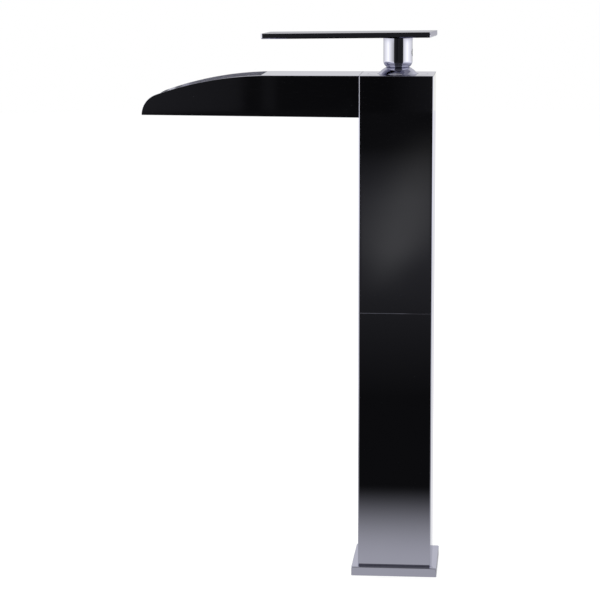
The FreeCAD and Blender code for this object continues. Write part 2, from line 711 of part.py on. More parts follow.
def makeCartridgeHousing():
    shoulder = "pivotHeight - shoulderDrop"
    ceiling = "pivotHeight - rotorFlangeHigh + flangeGap"
    neckTop = "pivotHeight + neckRise"
    neckInside = "rotorNeck + turningGap"
    keep(turned("cartridge_housing", (
        ("housingBore", "seatHeight"),
        ("cartridgeRadius", "seatHeight"),
        ("cartridgeRadius", "pivotHeight - flangeLow"),
        ("flangeRadius", "pivotHeight - flangeLow"),
        ("flangeRadius", "pivotHeight - flangeHigh"),
        ("cartridgeRadius", "pivotHeight - flangeHigh"),
        ("cartridgeRadius", shoulder),
        ("neckOutside", shoulder),
        ("neckOutside", neckTop),
        (neckInside, neckTop),
        (neckInside, ceiling),
        ("housingBore", ceiling),
    )), "cartridge_housing")


def portPlaces():
    """The three ports of the cartridge: name, radius and place."""
    return (
        ("HotInlet", "inletRadius", "inletBack", "inletSpread"),
        ("ColdInlet", "inletRadius", "inletBack", "-inletSpread"),
        ("Outlet", "outletRadius", "-outletForward", "0"),
    )


def makeCartridgeBase():
    foot = rod("footDisc", "housingBore - pressGap", "0", "0", ("seatHeight", "footTop"))
    tools = []
    for name, radius, x, y in portPlaces():
        tools.append(rod("foot" + name, radius, x, y, ("seatHeight", "footTop")))
        tools.append(portRing("groove" + name, radius, x, y))
    keep(without("cartridgeBase", foot, tools), "cartridge_base")
    rings = [portRing("seal" + name, radius, x, y) for name, radius, x, y in portPlaces()]
    keep(together("portSeals", rings), "port_seals")


def portRing(name, radius, x, y):
    inner = f"{radius} + portSealGap"
    height = ("seatHeight", "seatHeight + portSealHeight")
    outside = rod(name + "Outside", f"{inner} + portSealWidth", x, y, height)
    return without(name, outside, [rod(name + "Inside", inner, x, y, height)])


def makeFixedDisc():
    disc = rod("fixedBlank", "housingBore - cartridgeGap", "0", "0", ("footTop", "fixedTop"))
    holes = []
    for name, radius, x, y in portPlaces():
        holes.append(rod("fixed" + name, radius, x, y, ("footTop", "fixedTop")))
    keep(without("fixedDisc", disc, holes), "fixed_disc")


def makeMovingDisc():
    """The upper ceramic disc. Closed, it stands half its travel behind the axis."""
    disc = rod("movingBlank", "carrierRadius", "discShift", "0", ("fixedTop", "movingTop"))
    hollow = rod("mixingHollow", "mixRadius", "discShift", "0", ("fixedTop", "fixedTop + mixDepth"))
    key = rod("keySeat", "keyRadius + keyGap", "discShift", "0", ("movingTop - keyHeight", "movingTop"))
    keep(turnWithLever(without("movingDisc", disc, [hollow, key])), "moving_disc")


def makeDiscCarrier():
    """Round carrier with two flats, its key in the moving disc and the socket for the stem's foot."""
    top = "movingTop + carrierHeight"
    blank = rod("carrierBlank", "carrierRadius", "discShift", "0", ("movingTop", top))
    flats = [
        box("carrierFlat" + side, ("-2 * carrierRadius", "2 * carrierRadius"),
            (f"{sign} * carrierFlat - (1 - {sign}) / 2 * carrierRadius",
             f"{sign} * carrierFlat + (1 + {sign}) / 2 * carrierRadius"), ("movingTop", top))
        for side, sign in SIDES
    ]
    socket = rod("footSocket", "footRadius + footGap", "0", "0", ("movingTop + socketFloor", top))
    body = without("carrierBody", blank, flats + [socket])
    key = rod("carrierKey", "keyRadius", "discShift", "0", ("movingTop - keyHeight", "movingTop"))
    keep(turnWithLever(joined("discCarrier", [body, key])), "disc_carrier")


def makeRotor():
    """Turns in the housing's neck, with a slot for the stem and two cheeks that guide the carrier."""
    low = "pivotHeight - rotorFlangeLow"
    flange = rod("rotorFlangeDisc", "rotorFlange", "0", "0", (low, "pivotHeight - rotorFlangeHigh"))
    neck = rod("rotorNeckRod", "rotorNeck", "0", "0", (low, "pivotHeight + rotorRise"))
    inner = "carrierFlat + cheekGap"
    cheeks = [
        box("cheek" + side, ("-cheekLength / 2", "cheekLength / 2"), span, ("pivotHeight - cheekLow", low))
        for side, span in (
            ("Left", (f"-({inner}) - cheekThickness", f"-({inner})")),
            ("Right", (inner, f"{inner} + cheekThickness")),
        )
    ]
    slotHalf = "stemRadius + stemSlotGap"
    slot = box("stemSlot", ("-slotFront", "slotBack"), (f"-({slotHalf})", slotHalf),
               (low, "pivotHeight + rotorRise"))
    pinHole = rod("rotorPinHole", "pinRadius + pinGap", "0", ("-rotorNeck", "rotorNeck"), "pivotHeight")
    body = joined("rotorBody", [flange, neck] + cheeks)
    keep(turnWithLever(without("rotorPiece", body, [slot, pinHole])), "rotor")


def makePivotPin():
    pivot = rod("pivotRod", "pinRadius", "0", ("-pinLength / 2", "pinLength / 2"), "pivotHeight")
    keep(turnWithLever(together("pivotPin", [pivot])), "pivot_pin")


def makeRetainingNut():
    low = "pivotHeight - flangeHigh"
    high = "pivotHeight - nutTopDrop"
    keep(turned("retaining_nut", (
        ("cartridgeRadius + nutGap", low),
        ("nutRadius", low),
        ("nutRadius", high),
        ("cartridgeRadius + nutGap", high),
    )), "retaining_nut")


# ---- Ball and lever ----

def makeStem():
    shank = rod("stemShank", "shankRadius", "0", "0", ("pivotHeight - stemArm", "pivotHeight - shankTop"))
    waist = rod("stemWaist", "stemRadius", "0", "0", ("pivotHeight - shankTop", "pivotHeight + ballSeat"))
    collar = rod("stemCollar", "collarRadius", "0", "0",
                 ("pivotHeight + ballSeat - collarHeight", "pivotHeight + ballSeat"))
    upper = rod("stemUpper", "stemTopRadius", "0", "0",
                ("pivotHeight + ballSeat", "pivotHeight + stemTopRise"))
    foot = ball("stemFoot", "footRadius", "0", "0", "pivotHeight - stemArm")
    pinHole = rod("stemPinHole", "pinRadius + pinGap", "0", ("-collarRadius", "collarRadius"), "pivotHeight")
    body = joined("stemBody", [shank, waist, collar, upper, foot])
    keep(turnWithLever(without("stemPiece", body, [pinHole])), "stem")


def makeBallCap():
    """Thin ball shell with a flat for the hub and a flat inside for the stem's collar."""
    shell = ball("ballOutside", "ballRadius", "0", "0", "pivotHeight")
    hollow = ball("ballInside", "ballRadius - ballWall", "0", "0", "pivotHeight")
    seat = box("aboveSeat", ("-ballRadius", "ballRadius"), ("-ballRadius", "ballRadius"),
               ("pivotHeight + ballSeat", "pivotHeight + ballRadius"))
    rim = "pivotHeight + ballRadius * sin(ballEdgeAngle * 1 deg)"
    tools = [
        without("ballHollow", hollow, [seat]),
        box("belowRim", ("-ballRadius", "ballRadius"), ("-ballRadius", "ballRadius"),
            ("pivotHeight - ballRadius", rim)),
        box("aboveFlat", ("-ballRadius", "ballRadius"), ("-ballRadius", "ballRadius"),
            ("pivotHeight + ballFlat", "pivotHeight + ballRadius")),
        rod("ballHole", "stemTopRadius + ballHoleGap", "0", "0", ("pivotHeight", "pivotHeight + ballRadius")),
    ]
    keep(turnWithLever(without("ballCap", shell, tools)), "ball_cap")


def makeBonnetRing():
    low = "bonnetLow"
    blank = rod("bonnetBlank", "bonnetRadius", "0", "0", (low, "bodyTop"))
    relief = ball("bonnetRelief", "ballRadius + ballRelief", "0", "0", "pivotHeight")
    groove = rod("glideGroove", "glideRadius + bonnetGap", "0", "0",
                 (low, f"{low} + glideHeight + bonnetGap"))
    keep(without("bonnetRing", blank, [relief, groove]), "bonnet_ring")


def makeGlideRing():
    low = "bonnetLow"
    blank = rod("glideBlank", "glideRadius", "0", "0", (low, f"{low} + glideHeight"))
    hollow = ball("glideHollow", "ballRadius + turningGap", "0", "0", "pivotHeight")
    keep(without("glideRing", blank, [hollow]), "glide_ring")


def makeLeverHub():
    foot = "pivotHeight + ballFlat"
    socketTop = "pivotHeight + stemTopRise + hubSocketSpare"
    body = turned("hubTurning", (
        ("stemTopRadius + ballHoleGap", foot),
        ("hubFoot", foot),
        ("hubRadius", f"{foot} + hubTaper"),
        ("hubRadius", "pivotHeight + hubRise"),
        ("0", "pivotHeight + hubRise"),
        ("0", socketTop),
        ("stemTopRadius + ballHoleGap", socketTop),
    ))
    thread = rod("setScrewThread", "screwRadius + threadGap", ("0", "hubRadius"), "0",
                 "pivotHeight + setScrewRise")
    keep(turnWithLever(without("leverHub", body, [thread])), "lever_hub")


def makeSetScrew():
    tip = "stemTopRadius + pinGap"
    height = "pivotHeight + setScrewRise"
    shank = rod("setScrewRod", "screwRadius", (tip, f"{tip} + setScrewLength"), "0", height)
    recess = hexagon("setScrewRecess", f"{tip} + setScrewLength - hexDepth", "0", height)
    recess.Placement.Rotation = FreeCAD.Rotation(UP, FreeCAD.Vector(1, 0, 0))
    keep(turnWithLever(without("setScrew", shank, [recess])), "set_screw")


def makeLeverPlate():
    """Flat lever that slopes a little to its front, with a shallow level swelling over the hub."""
    body = document.addObject("PartDesign::Body", "leverFlat")
    outline = sketchOn(body, "XY_Plane", "leverOutline", "-leverThickness")
    drawRectangle(outline, ("-leverFront", "leverBack"), ("-leverWidth / 2", "leverWidth / 2"))
    extrude(body, "Pad", outline, "leverThickness")
    bottom = -size("leverThickness")
    dressEdges(body, "Chamfer", "leverBevel", "leverEdge", lambda edge: near(middle(edge).z, bottom))
    across = FreeCAD.Vector(0, 1, 0)
    body.Placement = FreeCAD.Placement(
        FreeCAD.Vector(0, 0, size("pivotHeight + leverRise")), FreeCAD.Rotation(across, -size("leverDroop")))
    body.setExpression(".Placement.Base.z", bound("pivotHeight + leverRise"))
    sphereRadius = "(bellyRadius * bellyRadius + bellyDepth * bellyDepth) / (2 * bellyDepth)"
    lens = ball("leverLens", sphereRadius, "0", "0", f"pivotHeight + hubRise + {sphereRadius}")
    slab = rod("lensBlank", "bellyRadius", "0", "0",
               ("pivotHeight + hubRise", "pivotHeight + leverRise - leverThickness / 2"))
    belly = document.addObject("Part::Common", "leverBelly")
    belly.Base = slab
    belly.Tool = lens
    keep(turnWithLever(joined("leverPlate", [body, belly])), "lever_plate")


# ---- Spout ----

def drawSpoutSide(sketch):
    """Side view of the spout: straight top, a long falling arc and a small arc round the tip."""
    corner = spot(("-columnHalf - spoutFlat", "bodyTop"))
    lip = spot(("spoutTip", "spoutBottom + spoutRise"))
    root = spot(("-columnHalf", "bodyTop"))
    foot = spot(("-columnHalf", "spoutBottom"))
    small = size("tipRadius")
    run = corner.x - lip.x - small
    drop = corner.y - lip.y
    large = (run ** 2 + drop ** 2 - small ** 2) / (2 * (drop - small))
    largeCentre = corner - FreeCAD.Vector(0, large, 0)
    smallCentre = lip + FreeCAD.Vector(small, 0, 0)
    meeting = math.atan2(smallCentre.y - largeCentre.y, smallCentre.x - largeCentre.x)
    normal = FreeCAD.Vector(0, 0, 1)
    top = sketch.addGeometry(Part.LineSegment(root, corner))
    largeCircle = Part.Circle(largeCentre, normal, large)
    smallCircle = Part.Circle(smallCentre, normal, small)
    longArc = sketch.addGeometry(Part.ArcOfCircle(largeCircle, math.pi / 2, meeting))
    tipArc = sketch.addGeometry(Part.ArcOfCircle(smallCircle, meeting, math.pi))
    under = sketch.addGeometry(Part.LineSegment(lip, foot))
    end = sketch.addGeometry(Part.LineSegment(foot, root))
    for constraint in (
        Sketcher.Constraint("Tangent", top, 2, longArc, 1),
        Sketcher.Constraint("Tangent", longArc, 2, tipArc, 1),
        Sketcher.Constraint("Coincident", tipArc, 2, under, 1),
        Sketcher.Constraint("Coincident", under, 2, end, 1),
        Sketcher.Constraint("Coincident", end, 2, top, 1),
        Sketcher.Constraint("Horizontal", tipArc, 2, tipArc, 3),
    ):
        sketch.addConstraint(constraint)
    pin(sketch, top, 1, ("-columnHalf", "bodyTop"))
    pin(sketch, top, 2, ("-columnHalf - spoutFlat", "bodyTop"))
    pin(sketch, under, 1, ("spoutTip", "spoutBottom + spoutRise"))
    pin(sketch, under, 2, ("-columnHalf", "spoutBottom"))
    radius = sketch.addConstraint(Sketcher.Constraint("Radius", tipArc, small))
    sketch.setExpression(f"Constraints[{radius}]", bound("tipRadius"))


def isSpoutEdge(edge):
    """True for the lip and for the edges of the two sides, but not where they meet the column."""
    centre = middle(edge)
    isLip = near(centre.x, size("spoutTip")) and near(centre.y, 0)
    return isLip or (near(abs(centre.y), size("columnHalf")) and not runsAlong(edge, UP))


def makeSpoutTrough():
    body = document.addObject("PartDesign::Body", "spout_trough")
    side = sketchOn(body, "XZ_Plane", "spoutSide")
    drawSpoutSide(side)
    extrude(body, "Pad", side, "columnWidth", symmetric=True)
    dressEdges(body, "Fillet", "spoutEdges", "rimRound", isSpoutEdge)
    channel = sketchOn(body, "XZ_Plane", "spoutChannel")
    beyond = "spoutTip - spoutWall"
    drawPolygon(channel, (
        ("endFace", "floorTop + spoutRise * spoutWall / spoutReach"),
        ("endFace", "bodyTop + spoutWall"),
        (beyond, "bodyTop + spoutWall"),
        (beyond, "floorTop + spoutRise * (spoutReach + spoutWall) / spoutReach"),
    ))
    extrude(body, "Pocket", channel, "2 * channelHalf", symmetric=True)
    step = sketchOn(body, "YZ_Plane", "coverStep", "endFace")
    drawRectangle(step, ("-channelHalf", "channelHalf"), ("coverLow", "bodyTop + spoutWall"))
    extrude(body, "Pocket", step, "spoutWall", backward=True)
    ledges = sketchOn(body, "YZ_Plane", "coverLedges", "endFace")
    inner = "channelHalf - ledgeWidth"
    drawRectangle(ledges, ("-channelHalf", f"-({inner})"), ("coverLow - ledgeHeight", "coverLow"))
    drawRectangle(ledges, (inner, "channelHalf"), ("coverLow - ledgeHeight", "coverLow"))
    extrude(body, "Pad", ledges, "coverLength - spoutWall - coverThickness", backward=True)
    openings = sketchOn(body, "YZ_Plane", "endOpenings", "endFace")
    drawRectangle(openings, ("-windowWidth / 2", "windowWidth / 2"), ("windowLow", "windowHigh"))
    for height in ("upperScrewHeight", "lowerScrewHeight"):
        for name, sign in SIDES:
            drawCircle(openings, "screwRadius + threadGap", f"{sign} * spoutScrewPlace", height)
    extrude(body, "Pocket", openings, "spoutWall", backward=True)
    groove = sketchOn(body, "YZ_Plane", "gasketSeat", "-columnHalf")
    drawGasketFrame(groove)
    extrude(body, "Pocket", groove, "spoutGasketDepth")
    keep(body, "spout_trough")


def drawGasketFrame(sketch):
    for margin in ("gasketMargin", "gasketMargin + spoutGasketWidth"):
        across = f"windowWidth / 2 + {margin}"
        drawRectangle(sketch, (f"-({across})", across), (f"windowLow - ({margin})", f"windowHigh + {margin}"))


def makeSpoutGasket():
    body = document.addObject("PartDesign::Body", "spout_gasket")
    frame = sketchOn(body, "YZ_Plane", "gasketOutline", "-columnHalf")
    drawGasketFrame(frame)
    extrude(body, "Pad", frame, "spoutGasketDepth", backward=True)
    keep(body, "spout_gasket")


def makeSpoutCover():
    """Flat cover, flush with the trough's rims, with a rounded front edge."""
    body = document.addObject("PartDesign::Body", "spout_cover")
    plate = sketchOn(body, "XY_Plane", "coverOutline", "coverLow")
    across = "channelHalf - coverGap"
    drawRectangle(plate, ("-columnHalf - coverLength", "-columnHalf - coverGap"), (f"-({across})", across))
    extrude(body, "Pad", plate, "coverThickness")
    front = size("-columnHalf - coverLength")
    dressEdges(body, "Fillet", "coverFront", "coverNose",
               lambda edge: runsAlong(edge, FreeCAD.Vector(0, 1, 0)) and near(middle(edge).x, front))
    keep(body, "spout_cover")


def makeFlowBaffle():
    """Perforated plate across the trough, under the cover."""
    front = "-columnHalf - baffleForward - baffleThickness"
    back = "-columnHalf - baffleForward"
    across = "channelHalf - ledgeWidth - baffleGap"
    low = "floorTop + spoutRise * (baffleForward + baffleThickness) / spoutReach + baffleGap / 2"
    body = document.addObject("PartDesign::Body", "flow_baffle")
    plate = sketchOn(body, "YZ_Plane", "baffleOutline", front)
    drawRectangle(plate, (f"-({across})", across), (low, "coverLow - baffleGap"))
    for line in range(BAFFLE_ROWS):
        for column in range(BAFFLE_COLUMNS):
            offset = column - (BAFFLE_COLUMNS - 1) / 2
            height = f"{low} + baffleLift + {line} * bafflePitch"
            drawCircle(plate, "baffleHole", f"{offset} * bafflePitch", height)
    extrude(body, "Pad", plate, f"({back}) - ({front})")
    keep(body, "flow_baffle")


# ---- The whole faucet ----

def makeFaucet():
    makeBasePlate()
    makeBaseGasket()
    makeMountingBlock()
    makeScrews()
    makeLowerColumn()
    makeJointSleeve()
    makeUpperBody()
    makeRiserTubes()
    makeRiserSeals()
    makeValveBody()
    makeOutletSeal()
    makeCartridgeHousing()
    makeCartridgeBase()
    makeFixedDisc()
    makeMovingDisc()
    makeDiscCarrier()
    makeRotor()
    makePivotPin()
    makeRetainingNut()
    makeStem()
    makeBallCap()
    makeBonnetRing()
    makeGlideRing()
    makeLeverHub()
    makeSetScrew()
    makeLeverPlate()
    makeSpoutTrough()
    makeSpoutGasket()
    makeSpoutCover()
    makeFlowBaffle()
    document.recompute()


def checkDocument():
    """Stops if any object failed to build."""
    for thing in document.Objects:
        if "Invalid" in thing.State or "Error" in thing.State:
            raise RuntimeError(f"{thing.Name} failed: {thing.State}")
    for piece in subParts:
        if piece.Shape.isNull() or not piece.Shape.isValid():
            raise RuntimeError(f"{piece.Label} has no valid shape")


def writeParts():
    os.makedirs("parts", exist_ok=True)
    for piece in subParts:
        piece.Shape.exportStep(os.path.join("parts", piece.Label + ".step"))
        ends = piece.Shape.BoundBox
        spans = ((ends.XMin, ends.XMax), (ends.YMin, ends.YMax), (ends.ZMin, ends.ZMax))
        reach = "  ".join(f"{low:.1f}..{high:.1f}" for low, high in spans)
        volume = piece.Shape.Volume / 1000
        print(f"{piece.Label:18} {len(piece.Shape.Solids)} solids {volume:8.3f} cm3  {reach}")


makeFaucet()
checkDocument()
writeParts()
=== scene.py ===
import json
import math

import bmesh
import bpy
from mathutils import Matrix, Vector


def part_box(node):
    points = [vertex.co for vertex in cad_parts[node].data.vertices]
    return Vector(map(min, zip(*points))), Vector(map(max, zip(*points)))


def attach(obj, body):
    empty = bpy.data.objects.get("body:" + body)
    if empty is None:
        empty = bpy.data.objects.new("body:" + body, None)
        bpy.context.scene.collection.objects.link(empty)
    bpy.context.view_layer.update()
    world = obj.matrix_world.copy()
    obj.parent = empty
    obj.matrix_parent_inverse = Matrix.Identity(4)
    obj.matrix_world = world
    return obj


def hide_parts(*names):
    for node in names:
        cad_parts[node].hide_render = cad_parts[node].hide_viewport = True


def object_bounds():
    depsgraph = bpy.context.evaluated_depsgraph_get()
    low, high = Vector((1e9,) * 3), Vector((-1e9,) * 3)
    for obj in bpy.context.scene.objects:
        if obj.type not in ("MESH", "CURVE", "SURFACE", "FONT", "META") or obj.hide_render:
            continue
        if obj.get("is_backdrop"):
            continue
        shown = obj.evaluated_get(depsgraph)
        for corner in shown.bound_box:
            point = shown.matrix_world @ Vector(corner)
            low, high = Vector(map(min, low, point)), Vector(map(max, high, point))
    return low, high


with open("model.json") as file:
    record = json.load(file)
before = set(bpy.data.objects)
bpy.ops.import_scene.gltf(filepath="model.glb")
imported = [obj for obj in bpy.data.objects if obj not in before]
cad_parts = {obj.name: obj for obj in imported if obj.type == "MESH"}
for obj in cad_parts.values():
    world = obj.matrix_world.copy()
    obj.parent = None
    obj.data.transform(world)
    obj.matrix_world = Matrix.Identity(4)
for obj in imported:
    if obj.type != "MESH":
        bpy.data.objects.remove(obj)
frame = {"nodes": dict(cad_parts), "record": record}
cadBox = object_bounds()
mm = 0.001
print("frame loaded,", len(frame["nodes"]), "nodes")


camera = {
    "place": (60.7, -1268.25, 372.99),  # mm
    "yaw": 0.0926,  # radians, towards the spout
    "pitch": -0.1659,
    "roll": -0.003,
    "focalPixels": 2192.6,
    "imagePixels": 600,
    "sensor": 36.0,  # mm
    "clip": (0.05, 100),  # m
}


def makeCamera():
    yaw, pitch, roll = camera["yaw"], camera["pitch"], camera["roll"]
    forward = Vector((-math.sin(yaw) * math.cos(pitch), math.cos(yaw) * math.cos(pitch), math.sin(pitch)))
    level = Vector((math.cos(yaw), math.sin(yaw), 0))
    upright = level.cross(forward)
    right = math.cos(roll) * level + math.sin(roll) * upright
    up = math.cos(roll) * upright - math.sin(roll) * level
    data = bpy.data.cameras.new("camera")
    data.sensor_width = camera["sensor"]
    data.lens = camera["focalPixels"] * camera["sensor"] / camera["imagePixels"]
    data.clip_start, data.clip_end = camera["clip"]
    eye = bpy.data.objects.new("camera", data)
    turn = Matrix((right, up, -forward)).transposed().to_4x4()
    eye.matrix_world = Matrix.Translation(Vector(camera["place"]) * mm) @ turn
    bpy.context.scene.collection.objects.link(eye)
    bpy.context.scene.camera = eye


makeCamera()
bpy.context.scene.view_settings.view_transform = "Standard"
print("camera set")


def addNode(tree, kind, inputs=None, **settings):
    # inputs are plain values or the outputs of other nodes
    node = tree.nodes.new(kind)
    for name, value in settings.items():
        setattr(node, name, value)
    for key, value in (inputs or {}).items():
        if isinstance(value, bpy.types.NodeSocket):
            tree.links.new(value, node.inputs[key])
        else:
            node.inputs[key].default_value = value
    return node


def calculate(tree, operation, *values, clamp=False):
    inputs = dict(enumerate(values))
    return addNode(tree, "ShaderNodeMath", inputs, operation=operation, use_clamp=clamp).outputs[0]


def vectorMath(tree, operation, *values):
    return addNode(tree, "ShaderNodeVectorMath", dict(enumerate(values)), operation=operation).outputs


def fade(tree, value, start, end, low=0.0, high=1.0):
    # runs smoothly from low to high while the value runs from start to end
    inputs = {"Value": value, "From Min": start, "From Max": end, "To Min": low, "To Max": high}
    return addNode(tree, "ShaderNodeMapRange", inputs, interpolation_type="SMOOTHSTEP").outputs[0]


def rgba(value):
    return (*value, 1) if isinstance(value, tuple) else value


def blend(tree, factor, first, second):
    inputs = {0: factor, 6: rgba(first), 7: rgba(second)}
    return addNode(tree, "ShaderNodeMix", inputs, data_type="RGBA").outputs[2]


def noise(tree, place, scale, detail=3.0, rough=0.5):
    inputs = {"Vector": place, "Scale": scale, "Detail": detail, "Roughness": rough}
    return addNode(tree, "ShaderNodeTexNoise", inputs).outputs["Fac"]


def apart(tree, vector):
    return addNode(tree, "ShaderNodeSeparateXYZ", {0: vector}).outputs


def startGroup(name, inputs, outputs):
    group = bpy.data.node_groups.new(name, "ShaderNodeTree")
    for label, value in inputs.items():
        kind = "Color" if isinstance(value, tuple) else "Float"
        socket = group.interface.new_socket(label, in_out="INPUT", socket_type="NodeSocket" + kind)
        socket.default_value = rgba(value)
    for label, kind in outputs.items():
        group.interface.new_socket(label, in_out="OUTPUT", socket_type="NodeSocket" + kind)
    given = addNode(group, "NodeGroupInput").outputs
    result = addNode(group, "NodeGroupOutput").inputs
    place = addNode(group, "ShaderNodeTexCoord").outputs["Object"]
    return group, given, result, place


effects = {
    "driftRange": (0.35, 0.65),  # from and to, on noise that runs from 0 to 1
    "fleckRange": (0.4, 0.7),
    "fleckScale": 14.0,  # against the drift's
    "patchRange": (0.48, 0.72),
    "wipeRange": (0.5, 0.8),
    "wipeScale": (90.0, 90.0, 900.0),
    "rippleHeight": 4.0,  # against the grain's lines
    "ringHeight": 0.35,  # against the unevenness between the rings
    "ringNoise": 0.35,
    "threadRange": (0.0001, 0.0002),  # m off its radius, where a thread fades out
    "cellHeight": 0.6,  # against the soft part of a mould's skin
}


def makeToneGroup():
    # drifts softly between two tones, with a fine fleck on top
    group, given, result, place = startGroup(
        "softTone",
        {"first": (0.5, 0.5, 0.5), "second": (0.6, 0.6, 0.6), "scale": 60.0, "fleck": 0.1},
        {"colour": "Color"})
    drift = fade(group, noise(group, place, given["scale"]), *effects["driftRange"])
    fine = calculate(group, "MULTIPLY", given["scale"], effects["fleckScale"])
    flecks = fade(group, noise(group, place, fine, detail=1.0), *effects["fleckRange"])
    flecks = calculate(group, "MULTIPLY", flecks, given["fleck"])
    factor = calculate(group, "ADD", drift, flecks, clamp=True)
    group.links.new(blend(group, factor, given["first"], given["second"]), result["colour"])
    return group


def makeHandlingGroup():
    # wiped and touched areas scatter a little more than clean ones
    group, given, result, place = startGroup(
        "handling",
        {"clean": 0.03, "touched": 0.08, "scale": 35.0, "streaks": 0.3},
        {"roughness": "Float"})
    patches = noise(group, place, given["scale"], detail=4.0, rough=0.6)
    patches = fade(group, patches, *effects["patchRange"])
    wiping = addNode(group, "ShaderNodeMapping", {"Vector": place, "Scale": effects["wipeScale"]})
    streaks = noise(group, wiping.outputs[0], 1.0, detail=2.0)
    streaks = fade(group, streaks, *effects["wipeRange"])
    streaks = calculate(group, "MULTIPLY", streaks, given["streaks"])
    mask = calculate(group, "ADD", patches, streaks, clamp=True)
    span = calculate(group, "SUBTRACT", given["touched"], given["clean"])
    extra = calculate(group, "MULTIPLY", mask, span)
    group.links.new(calculate(group, "ADD", given["clean"], extra), result["roughness"])
    return group


def makeGrainGroup():
    # long fine lines from polishing, drawing or brushing
    group, given, result, place = startGroup(
        "lineGrain",
        {"across x": 1500.0, "across y": 1500.0, "across z": 60.0, "ripple": 18.0},
        {"height": "Float"})
    scale = addNode(group, "ShaderNodeCombineXYZ", {
        0: given["across x"], 1: given["across y"], 2: given["across z"]}).outputs[0]
    lines = noise(group, vectorMath(group, "MULTIPLY", place, scale)[0], 1.0, detail=4.0, rough=0.65)
    waves = noise(group, place, given["ripple"], detail=1.0, rough=0.3)
    height = calculate(group, "MULTIPLY_ADD", waves, effects["rippleHeight"], lines)
    group.links.new(height, result["height"])
    return group


def fromAxis(group, place, given):
    # offsets, height and distance from an upright axis; mirror folds the two sides onto one axis
    x, y, z = apart(group, place)
    change = calculate(group, "SUBTRACT", calculate(group, "ABSOLUTE", y), y)
    y = calculate(group, "MULTIPLY_ADD", change, given["mirror"], y)
    across = calculate(group, "SUBTRACT", x, given["axis x"])
    beside = calculate(group, "SUBTRACT", y, given["axis y"])
    squares = [calculate(group, "POWER", offset, 2.0) for offset in (across, beside)]
    return across, beside, z, calculate(group, "SQRT", calculate(group, "ADD", *squares))


def makeTurningGroup():
    # rings cut by a lathe tool
    group, given, result, place = startGroup(
        "turningRings",
        {"axis x": 0.0, "axis y": 0.0, "mirror": 0.0, "pitch": 0.00012},
        {"height": "Float"})
    z, radius = fromAxis(group, place, given)[2:]
    turns = calculate(group, "DIVIDE", calculate(group, "ADD", radius, z), given["pitch"])
    run = addNode(group, "ShaderNodeCombineXYZ", {0: turns}).outputs[0]
    uneven = noise(group, run, effects["ringNoise"], detail=2.0)
    wave = calculate(group, "SINE", turns)
    height = calculate(group, "MULTIPLY_ADD", wave, effects["ringHeight"], uneven)
    group.links.new(height, result["height"])
    return group


def makeThreadGroup():
    # screw thread on a bore or shank of one radius
    group, given, result, place = startGroup(
        "threadLines",
        {"axis x": 0.0, "axis y": 0.0, "mirror": 0.0, "radius": 0.004, "pitch": 0.001},
        {"height": "Float"})
    across, beside, z, radius = fromAxis(group, place, given)
    off = calculate(group, "ABSOLUTE", calculate(group, "SUBTRACT", radius, given["radius"]))
    near = fade(group, off, *effects["threadRange"], 1.0, 0.0)
    turn = calculate(group, "DIVIDE", calculate(group, "ARCTAN2", beside, across), 2 * math.pi)
    climb = calculate(group, "SUBTRACT", calculate(group, "DIVIDE", z, given["pitch"]), turn)
    flank = calculate(group, "PINGPONG", climb, 0.5)
    group.links.new(calculate(group, "MULTIPLY", flank, near), result["height"])
    return group


def makeSkinGroup():
    # the fine spark-eroded grain of a mould
    group, given, result, place = startGroup("mouldSkin", {"scale": 1800.0}, {"height": "Float"})
    cells = addNode(group, "ShaderNodeTexVoronoi", {"Vector": place, "Scale": given["scale"]})
    soft = noise(group, place, given["scale"])
    height = calculate(group, "MULTIPLY_ADD", cells.outputs["Distance"], effects["cellHeight"], soft)
    group.links.new(height, result["height"])
    return group


groups = {
    "tone": makeToneGroup(),
    "handling": makeHandlingGroup(),
    "grain": makeGrainGroup(),
    "turning": makeTurningGroup(),
    "thread": makeThreadGroup(),
    "skin": makeSkinGroup(),
}
print("surface effects ready:", len(groups))


def useGroup(tree, name, **inputs):
    given = {label.replace("_", " "): rgba(value) for label, value in inputs.items()}
    return addNode(tree, "ShaderNodeGroup", given, node_tree=groups[name]).outputs


def lineGrain(tree, lines, **more):
    across = dict(zip(("across_x", "across_y", "across_z"), lines))
    return useGroup(tree, "grain", **across, **more)["height"]


def startFinish(name, values, **sockets):
    # a material with its tones, and with roughness from handling
    material = bpy.data.materials.new(name)
    material.use_nodes = True
    tree = material.node_tree
    shader = tree.nodes["Principled BSDF"]
    for label, value in sockets.items():
        shader.inputs[label.replace("_", " ")].default_value = value
    tone = useGroup(tree, "tone", first=values["tone"], second=values["deepTone"],
                    scale=values["toneScale"], fleck=values["fleck"])
    tree.links.new(tone["colour"], shader.inputs["Base Color"])
    wear = useGroup(tree, "handling", clean=values["clean"], touched=values["touched"],
                    scale=values["wearScale"])
    tree.links.new(wear["roughness"], shader.inputs["Roughness"])
    return material, tree, shader


def emboss(tree, shader, height, distance):
    # distance in mm
    bump = addNode(tree, "ShaderNodeBump", {"Strength": 1.0, "Distance": distance * mm, "Height": height})
    tree.links.new(bump.outputs[0], shader.inputs["Normal"])


